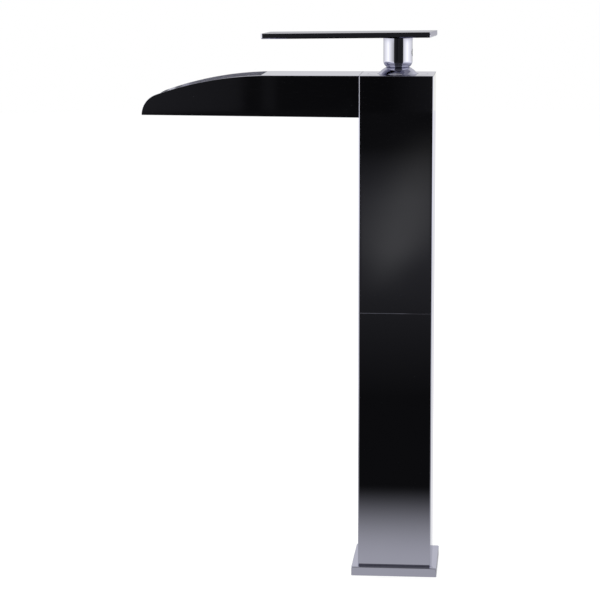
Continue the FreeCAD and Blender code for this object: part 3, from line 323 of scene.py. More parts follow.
chrome = {
    "tone": (0.600, 0.602, 0.690),
    "deepTone": (0.588, 0.590, 0.680),
    "edgeTint": (0.62, 0.62, 0.63, 1),
    "toneScale": 25.0,
    "fleck": 0.1,
    "clean": 0.025,  # roughness
    "touched": 0.050,
    "wearScale": 30.0,
    "metal": 1.0,
    "grain": (900.0, 900.0, 40.0),  # lines along x, y and z
    "ripple": 12.0,
    "relief": 0.00004,  # mm
}
spoutChrome = {"grain": (40.0, 900.0, 900.0)}
leverChrome = {"grain": (40.0, 900.0, 900.0), "ripple": 9.0}
# a lighter, partly matt copy of the chrome for the channel's inner faces: painted light that makes the
# inside render lighter
channelPaintedLightChrome = {
    "tone": (0.74, 0.74, 0.80),
    "deepTone": (0.72, 0.72, 0.78),
    "edgeTint": (0.80, 0.80, 0.82, 1),
    "clean": 0.035,
    "touched": 0.08,
    "metal": 0.84,  # the rest is matt, painted light that renders the inner faces lighter
    "grain": (30.0, 1600.0, 1600.0),
}
turnedChrome = {"toneScale": 60.0, "wearScale": 70.0, "ringPitch": 0.00016}  # pitch in m


def makeChrome(name, changes):
    values = {**chrome, **changes}
    material, tree, shader = startFinish(
        name, values, Metallic=values["metal"], Specular_Tint=values["edgeTint"])
    if "ringPitch" in values:
        height = useGroup(tree, "turning", pitch=values["ringPitch"])["height"]
    else:
        height = lineGrain(tree, values["grain"], ripple=values["ripple"])
    emboss(tree, shader, height, values["relief"])
    return material


brass = {
    "tone": (0.62, 0.43, 0.17),
    "deepTone": (0.50, 0.32, 0.12),
    "toneScale": 70.0,
    "fleck": 0.3,
    "clean": 0.22,
    "touched": 0.36,
    "wearScale": 90.0,
    "ringPitch": 0.00015,  # m
    "grain": (300.0, 2600.0, 2600.0),  # where it isn't turned
    "toolShare": 0.02,  # height of the tool's lines, against a thread
    "relief": 0.15,  # mm
    "threadRelief": 0.25,
}
blockThreads = (  # in m
    {"axis_x": 0.005, "axis_y": 0.0085, "mirror": 1.0, "radius": 0.005, "pitch": 0.001},  # hose ports
    {"axis_x": -0.0095, "radius": 0.004, "pitch": 0.00125},  # stud hole
)
steel = {
    "tone": (0.52, 0.52, 0.53),
    "deepTone": (0.42, 0.42, 0.44),
    "toneScale": 90.0,
    "fleck": 0.3,
    "clean": 0.20,
    "touched": 0.34,
    "wearScale": 110.0,
    "ringPitch": 0.0001,  # m
    "toolShare": 0.02,
    "relief": 0.2,  # mm
    "threadRelief": 0.2,
}
boltAxis = {"axis_x": -0.0142, "axis_y": 0.0142, "mirror": 1.0}
screwAxis = {"axis_x": 0.0142, "axis_y": 0.0142, "mirror": 1.0}
boltThreads = ({"radius": 0.0025, "pitch": 0.0008, **boltAxis},)
screwThreads = ({"radius": 0.002, "pitch": 0.0007, **screwAxis},)


def makeMachined(name, values, threads=(), isTurned=True, **axis):
    # the tool's rings or lines, and threads
    material, tree, shader = startFinish(name, values, Metallic=1.0)
    if isTurned:
        height = useGroup(tree, "turning", pitch=values["ringPitch"], **axis)["height"]
    else:
        height = lineGrain(tree, values["grain"])
    height = calculate(tree, "MULTIPLY", height, values["toolShare"])
    for thread in threads:
        height = calculate(tree, "ADD", height, useGroup(tree, "thread", **thread)["height"])
    emboss(tree, shader, height, values["threadRelief" if threads else "relief"])
    return material


copper = {
    "tone": (0.70, 0.34, 0.20),
    "deepTone": (0.50, 0.21, 0.12),
    "toneScale": 35.0,
    "fleck": 0.2,
    "clean": 0.20,
    "touched": 0.38,
    "wearScale": 60.0,
    "grain": (2200.0, 2200.0, 25.0),
    "relief": 0.004,  # mm
}
sheetSteel = {
    "tone": (0.60, 0.60, 0.62),
    "deepTone": (0.52, 0.52, 0.54),
    "toneScale": 90.0,
    "fleck": 0.3,
    "clean": 0.10,
    "touched": 0.16,
    "wearScale": 110.0,
    "grain": (1500.0, 60.0, 1500.0),
    "relief": 0.002,  # mm
}


def makeDrawn(name, values):
    # fine lines along a drawn tube or brushed sheet
    material, tree, shader = startFinish(name, values, Metallic=1.0)
    emboss(tree, shader, lineGrain(tree, values["grain"]), values["relief"])
    return material


rubber = {
    "tone": (0.020, 0.020, 0.021),
    "deepTone": (0.035, 0.034, 0.034),
    "toneScale": 120.0,
    "fleck": 0.4,
    "clean": 0.55,
    "touched": 0.72,
    "wearScale": 80.0,
    "refraction": 1.52,
    "skinScale": 1400.0,
    "relief": 0.03,  # mm
}
plastic = {
    "toneScale": 70.0,
    "fleck": 0.15,
    "clean": 0.38,
    "touched": 0.52,
    "wearScale": 90.0,
    "refraction": 1.48,
    "skinScale": 1700.0,
    "relief": 0.015,  # mm
}
ivoryTones = {"tone": (0.64, 0.63, 0.60), "deepTone": (0.58, 0.57, 0.53)}
greyTones = {"tone": (0.24, 0.25, 0.26), "deepTone": (0.19, 0.20, 0.21)}
blackTones = {"tone": (0.035, 0.035, 0.037), "deepTone": (0.028, 0.028, 0.030)}
ceramic = {
    "tone": (0.80, 0.78, 0.72),
    "deepTone": (0.74, 0.71, 0.65),
    "toneScale": 200.0,
    "fleck": 0.5,
    "clean": 0.10,
    "touched": 0.20,
    "wearScale": 150.0,
    "refraction": 1.7,
    "skinScale": 4000.0,
    "relief": 0.003,  # mm
}


def makeMoulded(name, values):
    material, tree, shader = startFinish(name, values, IOR=values["refraction"])
    skin = useGroup(tree, "skin", scale=values["skinScale"])
    emboss(tree, shader, skin["height"], values["relief"])
    return material


made = (
    makeChrome("columnChrome", {}),
    makeChrome("spoutChrome", spoutChrome),
    makeChrome("channelPaintedLightChrome", channelPaintedLightChrome),
    makeChrome("leverChrome", leverChrome),
    makeChrome("turnedChrome", turnedChrome),
    makeMachined("blockBrass", brass, blockThreads, isTurned=False),
    makeMachined("valveBrass", brass, isTurned=False),
    makeMachined("turnedBrass", brass),
    makeDrawn("drawnCopper", copper),
    makeMachined("boltSteel", steel, boltThreads, **boltAxis),
    makeMachined("screwSteel", steel, screwThreads, **screwAxis),
    makeMachined("turnedSteel", steel),
    makeDrawn("brushedSteel", sheetSteel),
    makeMoulded("blackRubber", rubber),
    makeMoulded("ivoryPlastic", {**plastic, **ivoryTones}),
    makeMoulded("greyPlastic", {**plastic, **greyTones}),
    makeMoulded("blackPlastic", {**plastic, **blackTones}),
    makeMoulded("lappedCeramic", ceramic),
)
finishes = {material.name: material for material in made}
print("finishes ready:", len(finishes))


# meshes are built in mm, and toObject() turns them into metres
planes = {"xy": (0, 1, 2), "xz": (0, 2, 1), "yz": (1, 2, 0)}
steps = {"squareCorner": 8, "squareSide": 24, "rod": 48, "lathe": 128}
cut = {"past": 5, "through": 1, "into": 0.5}  # mm that a cutting tool reaches beyond what it cuts
weld = {
    "line": 1e-5,  # mm, for turned shapes
    "point": 1e-4,
    "afterCut": 1e-7,  # m
    "flat": 0.05,  # degrees between faces that become one
}


def tidied(mesh):
    bmesh.ops.recalc_face_normals(mesh, faces=mesh.faces)
    return mesh


def joinRings(mesh, lower, upper):
    for index, point in enumerate(lower):
        following = (index + 1) % len(lower)
        mesh.faces.new((point, lower[following], upper[following], upper[index]))


def prism(outline, plane, low, high):
    # the outline lies in the plane and is drawn out from low to high
    first, second, third = planes[plane]
    mesh = bmesh.new()
    ends = []
    for level in (low, high):
        end = []
        for point in outline:
            spot = [0, 0, 0]
            spot[first], spot[second], spot[third] = point[0], point[1], level
            end.append(mesh.verts.new(spot))
        ends.append(end)
        mesh.faces.new(end)
    joinRings(mesh, *ends)
    return tidied(mesh)


def loft(rings, closed=True):
    # closed: the last ring meets the first, as on a tube; otherwise both ends get a face
    mesh = bmesh.new()
    lines = [[mesh.verts.new(point) for point in ring] for ring in rings]
    for lower, upper in zip(lines, lines[1:]):
        joinRings(mesh, lower, upper)
    if closed:
        joinRings(mesh, lines[-1], lines[0])
    else:
        mesh.faces.new(lines[0])
        mesh.faces.new(lines[-1])
    return tidied(mesh)


def rectangle(x, y):
    return [(x[0], y[0]), (x[1], y[0]), (x[1], y[1]), (x[0], y[1])]


def arc(centre, radius, start, end, count):
    # angles in degrees, both ends included
    angles = [math.radians(start + (end - start) * step / count) for step in range(count + 1)]
    return [(centre[0] + radius * math.cos(angle), centre[1] + radius * math.sin(angle)) for angle in angles]


def squareRing(half, rounding, height):
    points = []
    inset = half - rounding
    gap = Vector((-2 * inset, 0, 0))
    for quarter in range(4):
        turn = Matrix.Rotation(math.radians(90 * quarter), 3, "Z")
        corner = arc((inset, inset), rounding, 0, 90, steps["squareCorner"])
        corner = [Vector((x, y, height)) for x, y in corner]
        side = [corner[-1] + gap * step / steps["squareSide"] for step in range(1, steps["squareSide"])]
        points += [turn @ point for point in corner + side]
    return points


def roundRing(radius, height):
    # as many points as a square ring, with the same point at each corner's middle
    count = steps["squareCorner"] + steps["squareSide"]
    step = 90 / count
    start = 45 - step * steps["squareCorner"] / 2
    turns = [math.radians(start + step * index) for index in range(4 * count)]
    return [Vector((radius * math.cos(turn), radius * math.sin(turn), height)) for turn in turns]


def rod(radius, low, high, x, y, plane="xy"):
    # x and y are its place in the plane
    last = steps["rod"] - 1
    return prism(arc((x, y), radius, 0, 360 * last / steps["rod"], last), plane, low, high)


def lathe(profile):
    # closed profile of (radius, height), turned round the upright axis
    turns = [2 * math.pi * index / steps["lathe"] for index in range(steps["lathe"])]
    circles = []
    for radius, height in profile:
        circles.append([(radius * math.cos(turn), radius * math.sin(turn), height) for turn in turns])
    mesh = loft(circles)
    bmesh.ops.dissolve_degenerate(mesh, dist=weld["line"], edges=mesh.edges)
    bmesh.ops.remove_doubles(mesh, verts=mesh.verts, dist=weld["point"])
    return tidied(mesh)


def rotate(mesh, angle, axis="Z"):
    bmesh.ops.rotate(mesh, cent=(0, 0, 0), matrix=Matrix.Rotation(angle, 3, axis), verts=mesh.verts)


def toObject(mesh, name="tool"):
    # a bmesh in mm becomes an object in metres
    bmesh.ops.scale(mesh, vec=(mm, mm, mm), verts=mesh.verts)
    data = bpy.data.meshes.new(name)
    mesh.to_mesh(data)
    mesh.free()
    thing = bpy.data.objects.new(name, data)
    bpy.context.scene.collection.objects.link(thing)
    return thing


def combine(piece, tools, operation="DIFFERENCE"):
    for tool in tools:
        other = toObject(tool)
        change = piece.modifiers.new("combine", "BOOLEAN")
        change.operation = operation
        change.solver = "EXACT"
        change.object = other
        bpy.context.view_layer.update()
        done = bpy.data.meshes.new_from_object(piece.evaluated_get(bpy.context.evaluated_depsgraph_get()))
        piece.modifiers.clear()
        piece.data = done
        bpy.data.objects.remove(other)


def always(middle):
    return 1.0


def softenEdges(piece, width, weigh=always, segments=3, corner=30):
    # weigh gives an edge's share of the width from its middle, in mm
    # corner is the least angle between faces that is softened, in degrees
    mesh = bmesh.new()
    mesh.from_mesh(piece.data)
    bmesh.ops.remove_doubles(mesh, verts=mesh.verts, dist=weld["afterCut"])
    bmesh.ops.dissolve_limit(
        mesh, angle_limit=math.radians(weld["flat"]), verts=mesh.verts, edges=mesh.edges)
    layer = mesh.edges.layers.float.new("bevel_weight_edge")
    for edge in mesh.edges:
        if len(edge.link_faces) == 2 and edge.calc_face_angle(0) > math.radians(corner):
            edge[layer] = weigh((edge.verts[0].co + edge.verts[1].co) / 2 / mm)
    mesh.to_mesh(piece.data)
    mesh.free()
    soft = piece.modifiers.new("softEdges", "BEVEL")
    soft.limit_method = "WEIGHT"
    soft.width = width * mm
    soft.segments = segments
    soft.use_clamp_overlap = True


def finish(piece, name, body, looks, node):
    piece.name = name
    piece.data.name = name
    piece.data.materials.clear()
    for look in looks:
        piece.data.materials.append(finishes[look])
    piece.data.shade_smooth()
    even = piece.modifiers.new("evenNormals", "WEIGHTED_NORMAL")
    even.keep_sharp = True
    even.weight = 100
    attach(piece, body)
    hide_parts(node)
    print("made", name, len(piece.data.polygons), "faces")


def boxOf(node):
    low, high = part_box(node)
    return Vector(low) / mm, Vector(high) / mm


columnLow, columnHigh = boxOf("lower_column")
columnHalf = columnHigh.x
seamHeight = columnHigh.z
baseTop = columnLow.z
bodyTop = boxOf("upper_body")[1].z
joints = {joint["name"]: joint for joint in frame["record"]["behaviour"]["joints"]}
pivotHeight = joints["lift"]["pos_m"][2] / mm
leverTurn = -math.atan2(joints["lift"]["axis"][0], joints["lift"]["axis"][1])
print("column half", round(columnHalf, 2), "pivot", round(pivotHeight, 2), "lever turn", round(leverTurn, 4))


column = {
    "wall": 2.8,
    "edge": 0.75,  # rounding of the upright edges
    "insideEdge": 0.8,
    "seamBevel": 0.2,
    "seamTight": (1.0, 9.0, 0.15),  # from x to x, share of the bevel left there
    "footBevel": 0.15,
    "bulge": 0.3,  # share of a bevel by which its middle lies inside its corner
}


def bevelledRing(inset, height):
    return squareRing(columnHalf - inset, column["edge"] - inset, height)


def seamRing(inset, height):
    # the seam closes up towards +X
    start, end, share = column["seamTight"]
    points = []
    for wide, tight in zip(bevelledRing(inset, height), bevelledRing(share * inset, height)):
        run = min(max((wide.x - start) / (end - start), 0), 1)
        points.append(wide.lerp(tight, run))
    return points


def bevelRings(makeRing, bevel, height, way):
    # from an end face to the full section; way is 1 where the piece lies above it, otherwise -1
    middle = column["bulge"] * bevel
    return [
        makeRing(bevel, height),
        makeRing(middle, height + way * middle),
        bevelledRing(0, height + way * bevel),
    ]


def makeLowerColumn():
    inside = columnHalf - column["wall"]
    piece = toObject(loft([
        *bevelRings(bevelledRing, column["footBevel"], baseTop, 1),
        *reversed(bevelRings(seamRing, column["seamBevel"], seamHeight, -1)),
        squareRing(inside, column["insideEdge"], seamHeight),
        squareRing(inside, column["insideEdge"], baseTop),
    ]))
    finish(piece, "columnTube", "body", ["columnChrome"], "lower_column")


upperBody = {
    "topPlate": 10.8,
    "rimRound": 0.25,
    "rimSteps": 4,
    "boreGap": 0.1,  # round the bonnet ring
    "boreBevel": 0.12,
    "windowHalf": 9.5,
    "window": (272.4, 279.4),  # from height to height
    "screwPlace": 13.8,
    "screwHeights": (285.6, 275.6),
    "screwRadius": 2.1,
}


def wallTools(wall):
    # cut the water's window and the spout screws' holes through a wall from x to x
    half = upperBody["windowHalf"]
    tools = [prism(rectangle((-half, half), upperBody["window"]), "yz", *wall)]
    for height in upperBody["screwHeights"]:
        for side in (-1, 1):
            tools.append(rod(upperBody["screwRadius"], *wall, side * upperBody["screwPlace"], height, "yz"))
    return tools


def makeUpperBody():
    inside = columnHalf - column["wall"]
    rim = upperBody["rimRound"]
    under = bodyTop - upperBody["topPlate"]
    bore = boxOf("bonnet_ring")[1].x + upperBody["boreGap"]
    bevel = upperBody["boreBevel"]
    rounding = [
        bevelledRing(rim - across, bodyTop - rim + rise)
        for across, rise in arc((0, 0), rim, 0, 90, upperBody["rimSteps"])
    ]
    piece = toObject(loft([
        *bevelRings(seamRing, column["seamBevel"], seamHeight, 1),
        *rounding,
        roundRing(bore + bevel, bodyTop),
        roundRing(bore, bodyTop - bevel),
        roundRing(bore, under),
        squareRing(inside, column["insideEdge"], under),
        squareRing(inside, column["insideEdge"], seamHeight),
    ]))
    combine(piece, wallTools((-columnHalf - cut["through"], -inside + cut["through"])))
    finish(piece, "bodyShell", "body", ["columnChrome"], "upper_body")


makeLowerColumn()
makeUpperBody()


foot = {
    "corner": 0.5,
    "bevel": 0.4,
    "bevelMiddle": (0.35, 0.3),  # shares of the bevel, inwards and down
    "softening": 0.1,
    "opening": 15.4,
    "screwPlace": 14.2,
    "screwHole": 2.1,
    "screwSeat": (3.6, 2.7),  # radius, depth
    "boltHole": 2.6,
    "boltSeat": (4.35, 3.3),
    "groove": (21.5, 23.5, 1.8),  # inner half, outer half, depth
    "grooveCorner": 0.2,
}


def makeBasePlate():
    half = boxOf("base_plate")[1].x
    bevel, soft, corner, opening = foot["bevel"], foot["softening"], foot["corner"], foot["opening"]
    inwards, down = foot["bevelMiddle"]
    piece = toObject(loft([
        squareRing(half - soft, corner - soft, 0),
        squareRing(half, corner, soft),
        squareRing(half, corner, baseTop - bevel),
        squareRing(half - inwards * bevel, corner, baseTop - down * bevel),
        squareRing(half - bevel, corner, baseTop),
        roundRing(opening + soft, baseTop),
        roundRing(opening, baseTop - soft),
        roundRing(opening, soft),
        roundRing(opening + soft, 0),
    ]))
    inner, outer, depth = foot["groove"]
    under, over = -cut["through"], baseTop + cut["through"]
    frameSection = ((outer, under), (outer, depth), (inner, depth), (inner, under))
    tools = [loft([squareRing(width, foot["grooveCorner"], height) for width, height in frameSection])]
    across = foot["screwPlace"]
    for side in (-1, 1):
        for x, hole, seat in ((across, "screwHole", "screwSeat"), (-across, "boltHole", "boltSeat")):
            radius, deep = foot[seat]
            tools.append(rod(foot[hole], under, over, x, side * across))
            tools.append(rod(radius, under, deep, x, side * across))
    combine(piece, tools)
    finish(piece, "basePlate", "body", ["columnChrome"], "base_plate")


makeBasePlate()


spout = {
    "flat": 51.0,  # straight part of the top edge, from the column
    "tipRadius": 12.3,
    "rise": 1.0,  # of the underside and floor, up to the tip
    "wall": 3.0,
    "floor": 2.6,
    "longSteps": 40,
    "tipSteps": 20,
    "edge": 0.13,
    "innerEdge": 0.6,  # share of that on the inner rims
    "backEdge": 0.3,  # and at the column
    "touch": 0.1,  # what lies this close to a face counts as on it
    "channelFoot": 1.5,  # over the underside, where the channel's lighter chrome with painted light begins
    "ledge": (1.0, 2.0),  # width and height of the ledge under the cover
    "ledgeEnd": -75.5,
}
troughLow, troughHigh = boxOf("spout_trough")
coverLow, coverHigh = boxOf("spout_cover")
channelHalf = columnHalf - spout["wall"]
endFace = troughHigh.x - spout["wall"]


def spoutSide():
    # straight top, a long falling arc and a small arc round the tip
    tip = (troughLow.x, troughLow.z + spout["rise"])
    corner = (troughHigh.x - spout["flat"], bodyTop)
    small = spout["tipRadius"]
    run = corner[0] - tip[0] - small
    drop = corner[1] - tip[1]
    large = (run ** 2 + drop ** 2 - small ** 2) / (2 * (drop - small))
    largeCentre = (corner[0], corner[1] - large)
    smallCentre = (tip[0] + small, tip[1])
    meeting = math.degrees(math.atan2(smallCentre[1] - largeCentre[1], smallCentre[0] - largeCentre[0]))
    points = [(troughHigh.x, troughLow.z), (troughHigh.x, bodyTop)]
    points += arc(largeCentre, large, 90, meeting, spout["longSteps"])
    points += arc(smallCentre, small, meeting, 180, spout["tipSteps"])[1:]
    return points


def floorHeight(x):
    return troughLow.z + spout["floor"] + spout["rise"] * (troughHigh.x - x) / (troughHigh.x - troughLow.x)


def spoutEdge(middle):
    touch = spout["touch"]
    if middle.x > troughHigh.x - touch:
        return spout["backEdge"]
    isOuter = abs(middle.y) > columnHalf - touch or middle.x < troughLow.x + touch
    return 1.0 if isOuter else spout["innerEdge"]


def makeSpoutTrough():
    piece = toObject(prism(spoutSide(), "xz", -columnHalf, columnHalf))
    beyond, over, behind = troughLow.x - cut["past"], bodyTop + cut["past"], troughHigh.x + cut["through"]
    channel = [(endFace, floorHeight(endFace)), (endFace, over), (beyond, over),
               (beyond, floorHeight(beyond))]
    notch = rectangle((endFace - cut["into"], behind), (coverLow.z, over))  # for the cover's rear end
    tools = [prism(outline, "xz", -channelHalf, channelHalf) for outline in (channel, notch)]
    combine(piece, tools + wallTools((endFace - cut["through"], behind)))
    width, height = spout["ledge"]
    ledges = []
    for side in (-1, 1):
        across = sorted((side * (channelHalf - width), side * (channelHalf + cut["into"])))
        ledges.append(prism(rectangle(across, (coverLow.z - height, coverLow.z)), "yz",
                            spout["ledgeEnd"], endFace + cut["into"]))
    combine(piece, ledges, "UNION")
    softenEdges(piece, spout["edge"], spoutEdge)
    finish(piece, "spoutTrough", "body", ["spoutChrome", "channelPaintedLightChrome"], "spout_trough")
    inner = (channelHalf + spout["touch"]) * mm
    back = (endFace + spout["touch"]) * mm
    bottom = (troughLow.z + spout["channelFoot"]) * mm
    # the channel's inner faces take the lighter chrome copy, painted light
    for face in piece.data.polygons:
        x, y, z = face.center
        if abs(y) < inner and x < back and z > bottom:
            face.material_index = 1


cover = {
    "nose": (1.2, 0.8),  # length and height of its rounded front
    "lip": 0.6,
    "noseSteps": 10,
    "edge": 0.1,
}


def makeSpoutCover():
    long, high = cover["nose"]
    lip = cover["lip"]
    outline = [(coverHigh.x, coverLow.z), (coverHigh.x, coverHigh.z)]
    for x, z in arc((0, 0), 1, 90, 180, cover["noseSteps"]):
        outline.append((coverLow.x + long + long * x, coverHigh.z - high + high * z))
    outline += arc((coverLow.x + lip, coverLow.z + lip), lip, 180, 270, cover["noseSteps"])
    piece = toObject(prism(outline, "xz", coverLow.y, coverHigh.y))
    softenEdges(piece, cover["edge"], segments=2)
    finish(piece, "spoutCover", "body", ["spoutChrome"], "spout_cover")


makeSpoutTrough()
makeSpoutCover()


ball = {
    "radius": 14.5,
    "wall": 1.9,
    "rimAngle": 10.0,  # degrees over the equator
    "flat": 13.0,  # over the pivot
    "seat": 11.2,
    "hole": 3.7,
    "edge": 0.15,
    "steps": 28,
}


def angleAt(radius, height):
    return math.degrees(math.asin(height / radius))


def makeBallCap():
    centre = (0, pivotHeight)
    inner = ball["radius"] - ball["wall"]
    rim = ball["radius"] * math.sin(math.radians(ball["rimAngle"]))
    top = angleAt(ball["radius"], ball["flat"])
    outside = arc(centre, ball["radius"], ball["rimAngle"], top, ball["steps"])
    inside = arc(centre, inner, angleAt(inner, ball["seat"]), angleAt(inner, rim), ball["steps"])
    hole = [(ball["hole"], pivotHeight + ball["flat"]), (ball["hole"], pivotHeight + ball["seat"])]
    piece = toObject(lathe(outside + hole + inside))
    softenEdges(piece, ball["edge"], segments=2, corner=20)
    finish(piece, "ballShell", "lever", ["turnedChrome"], "ball_cap")


bonnet = {
    "relief": 0.3,  # gap round the ball
    "groove": (16.0, 2.5),  # radius and height of the seat for the glide ring
    "edge": 0.15,
    "steps": 10,
}


def makeBonnetRing():
    low, high = boxOf("bonnet_ring")
    grooveRadius, grooveHeight = bonnet["groove"]
    relief = ball["radius"] + bonnet["relief"]
    grooveTop = low.z + grooveHeight
    inner = arc((0, pivotHeight), relief, angleAt(relief, high.z - pivotHeight),
                angleAt(relief, grooveTop - pivotHeight), bonnet["steps"])
    profile = [(grooveRadius, low.z), (high.x, low.z), (high.x, high.z), *inner, (grooveRadius, grooveTop)]
    piece = toObject(lathe(profile))
    softenEdges(piece, bonnet["edge"], segments=2)
    finish(piece, "bonnetRing", "body", ["turnedChrome"], "bonnet_ring")


neck = {
    "foot": 6.65,  # radius on the ball
    "curve": 3.3,  # height of its curved foot
    "steps": 14,
    "socket": 3.7,
    "socketTop": 309.6,
    "screwHole": 2.1,
    "screwHeight": 305.0,
    "edge": 0.2,
}


def makeNeck():
    low, high = boxOf("lever_hub")
    radius = (high.y - low.y) / 2
    inset = radius - neck["foot"]
    bend = (inset ** 2 + neck["curve"] ** 2) / (2 * inset)
    start = math.degrees(math.asin(neck["curve"] / bend))
    curve = arc((radius - bend, low.z + neck["curve"]), bend, -start, 0, neck["steps"])
    piece = toObject(lathe([
        (neck["socket"], low.z),
        *curve,
        (radius, high.z),
        (0, high.z),
        (0, neck["socketTop"]),
        (neck["socket"], neck["socketTop"]),
    ]))
    hole = rod(neck["screwHole"], 0, radius + cut["through"], 0, neck["screwHeight"], "yz")
    rotate(hole, leverTurn)
    combine(piece, [hole])
    softenEdges(piece, neck["edge"], corner=20)
    finish(piece, "leverNeck", "lever", ["turnedChrome"], "lever_hub")


makeBallCap()
makeBonnetRing()
makeNeck()


lever = {
    "front": 78.1,
    "back": 20.8,
    "width": 27.7,
    "thickness": 3.1,
    "rise": 33.1,  # top face over the pivot
    "droop": 0.85,  # degrees
    "frontCorner": 1.2,
    "backCorner": 0.5,
    "cornerSteps": 8,
    "lowerEdge": 0.55,
    "edge": 0.2,
    "belly": (13.2, 0.5),  # radius and depth of the swelling over the neck
    "bellySteps": 10,
}


def leverOutline(inset):
    half = lever["width"] / 2
    front, back = lever["frontCorner"], lever["backCorner"]
    points = []
    for x, y, radius, start in ((-lever["front"] + front, front - half, front, 180),
                                (lever["back"] - back, back - half, back, 270),
                                (lever["back"] - back, half - back, back, 0),
                                (-lever["front"] + front, half - front, front, 90)):
        points += arc((x, y), radius - inset, start, start + 90, lever["cornerSteps"])
    return points


def makeLever():
    low = lever["lowerEdge"]
    thick = lever["thickness"]
    rings = []
    for inset, height in ((low, -thick), (0, low - thick), (0, 0)):
        rings.append([(x, y, height) for x, y in leverOutline(inset)])
    mesh = loft(rings, closed=False)
    rotate(mesh, math.radians(-lever["droop"]), "Y")
    bmesh.ops.translate(mesh, vec=(0, 0, pivotHeight + lever["rise"]), verts=mesh.verts)
    rotate(mesh, leverTurn)
    piece = toObject(mesh)
    reach, depth = lever["belly"]
    large = (reach ** 2 + depth ** 2) / (2 * depth)
    bottom = boxOf("lever_hub")[1].z
    profile = []
    for step in range(lever["bellySteps"] + 1):
        out = reach * step / lever["bellySteps"]
        profile.append((out, bottom + large - math.sqrt(large ** 2 - out ** 2)))
    middle = pivotHeight + lever["rise"] - thick / 2
    combine(piece, [lathe(profile + [(reach, middle), (0, middle)])], "UNION")
    softenEdges(piece, lever["edge"])
    finish(piece, "leverBlade", "lever", ["leverChrome"], "lever_plate")


makeLever()


# these keep their own shape
keptNodes = {
    "blackRubber": ("base_gasket", "riser_seals", "outlet_seal", "port_seals", "spout_gasket"),
    "blockBrass": ("mounting_block",),
    "valveBrass": ("joint_sleeve", "valve_body"),
    "turnedBrass": ("retaining_nut",),
    "drawnCopper": ("riser_tube_hot", "riser_tube_cold"),
    "boltSteel": ("tie_bolts",),
    "screwSteel": ("base_screws",),
    "turnedSteel": ("pivot_pin", "stem", "set_screw"),
    "brushedSteel": ("spout_screws", "flow_baffle"),
    "ivoryPlastic": ("cartridge_housing", "cartridge_base"),
    "greyPlastic": ("disc_carrier", "rotor"),
    "blackPlastic": ("glide_ring",),
    "lappedCeramic": ("fixed_disc", "moving_disc"),
}
for look, nodes in keptNodes.items():
    for node in nodes:
        for materialSlot in frame["nodes"][node].material_slots:
            materialSlot.material = finishes[look]
print("finishes given to the nodes that keep their shape")


studio = {
    "frontTurn": 0.14,  # radians, middle of the dark side, turned from the camera towards +X
    "frontEdge": (0.60, 0.69),  # radians from there, where the dark side ends
    "backEdge": (2.3, 2.7),  # radians from the camera's side, where the light floor behind begins
    "wallTop": (-0.0485, -0.0475),  # height at which the lit side walls end
    "roomFoot": 0.05,  # the room starts this far below the horizon
    "tint": (1.0, 1.0, 1.04),
    "glowTint": (1.0, 1.0, 0.88),
    "sideTint": (1.0, 1.0, 0.93),
    "soften": 0.65,  # white room on matt surfaces
    "floorReach": 3.4,  # m
    "floorSteps": 96,
    "paper": 0.8,  # the floor as the object sees it
    "floorShade": 0.35,  # as the camera sees it, with the glow
    "floorGlow": 0.79,
}
# what polished faces see, as (place, level) along each run
# front and back room by height
frontRoom = ((0.0, 0.0), (0.1, 0.0), (0.2, 0.2), (0.34, 0.2), (0.42, 0.05), (0.85, 0.05), (0.94, 0.4),
             (1.0, 0.15))  # added to the dark wall
backRoom = ((0.0, 0.95), (0.01, 0.9), (0.025, 0.15), (0.075, 0.15), (0.09, 0.7), (0.115, 0.95),
            (0.35, 0.97), (0.55, 0.85), (0.85, 0.45), (1.05, 0.35))  # over its foot
# walls by degrees from the camera's side, the dark one towards the spout only
sideWalls = ((0, 0.6), (35, 0.65), (60, 1.25), (80, 1.75), (100, 1.4), (130, 1.15), (180, 1.05))
darkWall = ((0.0, 0.02), (3.0, 0.004), (5.85, 0.005), (6.0, 0.0095), (6.2, 0.0095), (6.35, 0.005),
            (6.7, 0.005), (6.9, 0.012), (10.0, 0.02))
# floor by m from the object
nearFloor = (0.02, 0.213, 0.5)  # from m to m, level at its start
farFloor = ((0.5, 0.006), (1.3, 0.03), (1.8, 0.03), (2.6, 0.006))
glow = {
    "place": -0.068,  # m, beside the column's axis
    "level": 0.045,
    "rise": (0.95, 1.4),  # m from the object
    "fall": (1.5, 3.2),
    "spread": (1.1, 1.6, 0.021, 0.049),  # from m to m, half width at both
}
sideFloor = ((0, 0.52), (0.3, 0.4), (0.6, 0.82), (1.1, 0.9), (1.7, 1.3))
backFloor = 0.92


def along(tree, value, stops):
    # level along a run whose stops are in the value's own units
    reach = stops[-1][0]
    node = addNode(tree, "ShaderNodeValToRGB", {0: calculate(tree, "DIVIDE", value, reach, clamp=True)})
    elements = node.color_ramp.elements
    while len(elements) < len(stops):
        elements.new(0.5)
    for element, (position, level) in zip(elements, stops):
        element.position = position / reach
        element.color = (level, level, level, 1)
    return node.outputs[0]


def sideways(tree, x, y, turn=0.0):
    # angle from the camera's side, in radians, positive towards +X
    angle = calculate(tree, "ARCTAN2", x, calculate(tree, "MULTIPLY", y, -1.0))
    return calculate(tree, "SUBTRACT", angle, turn)


def frontMask(tree, x, y):
    angle = calculate(tree, "ABSOLUTE", sideways(tree, x, y, studio["frontTurn"]))
    return fade(tree, angle, *studio["frontEdge"], 1.0, 0.0)


def tinted(tree, level, tint):
    return vectorMath(tree, "MULTIPLY", level, studio[tint])[0]


def grey(level):
    return (level, level, level)


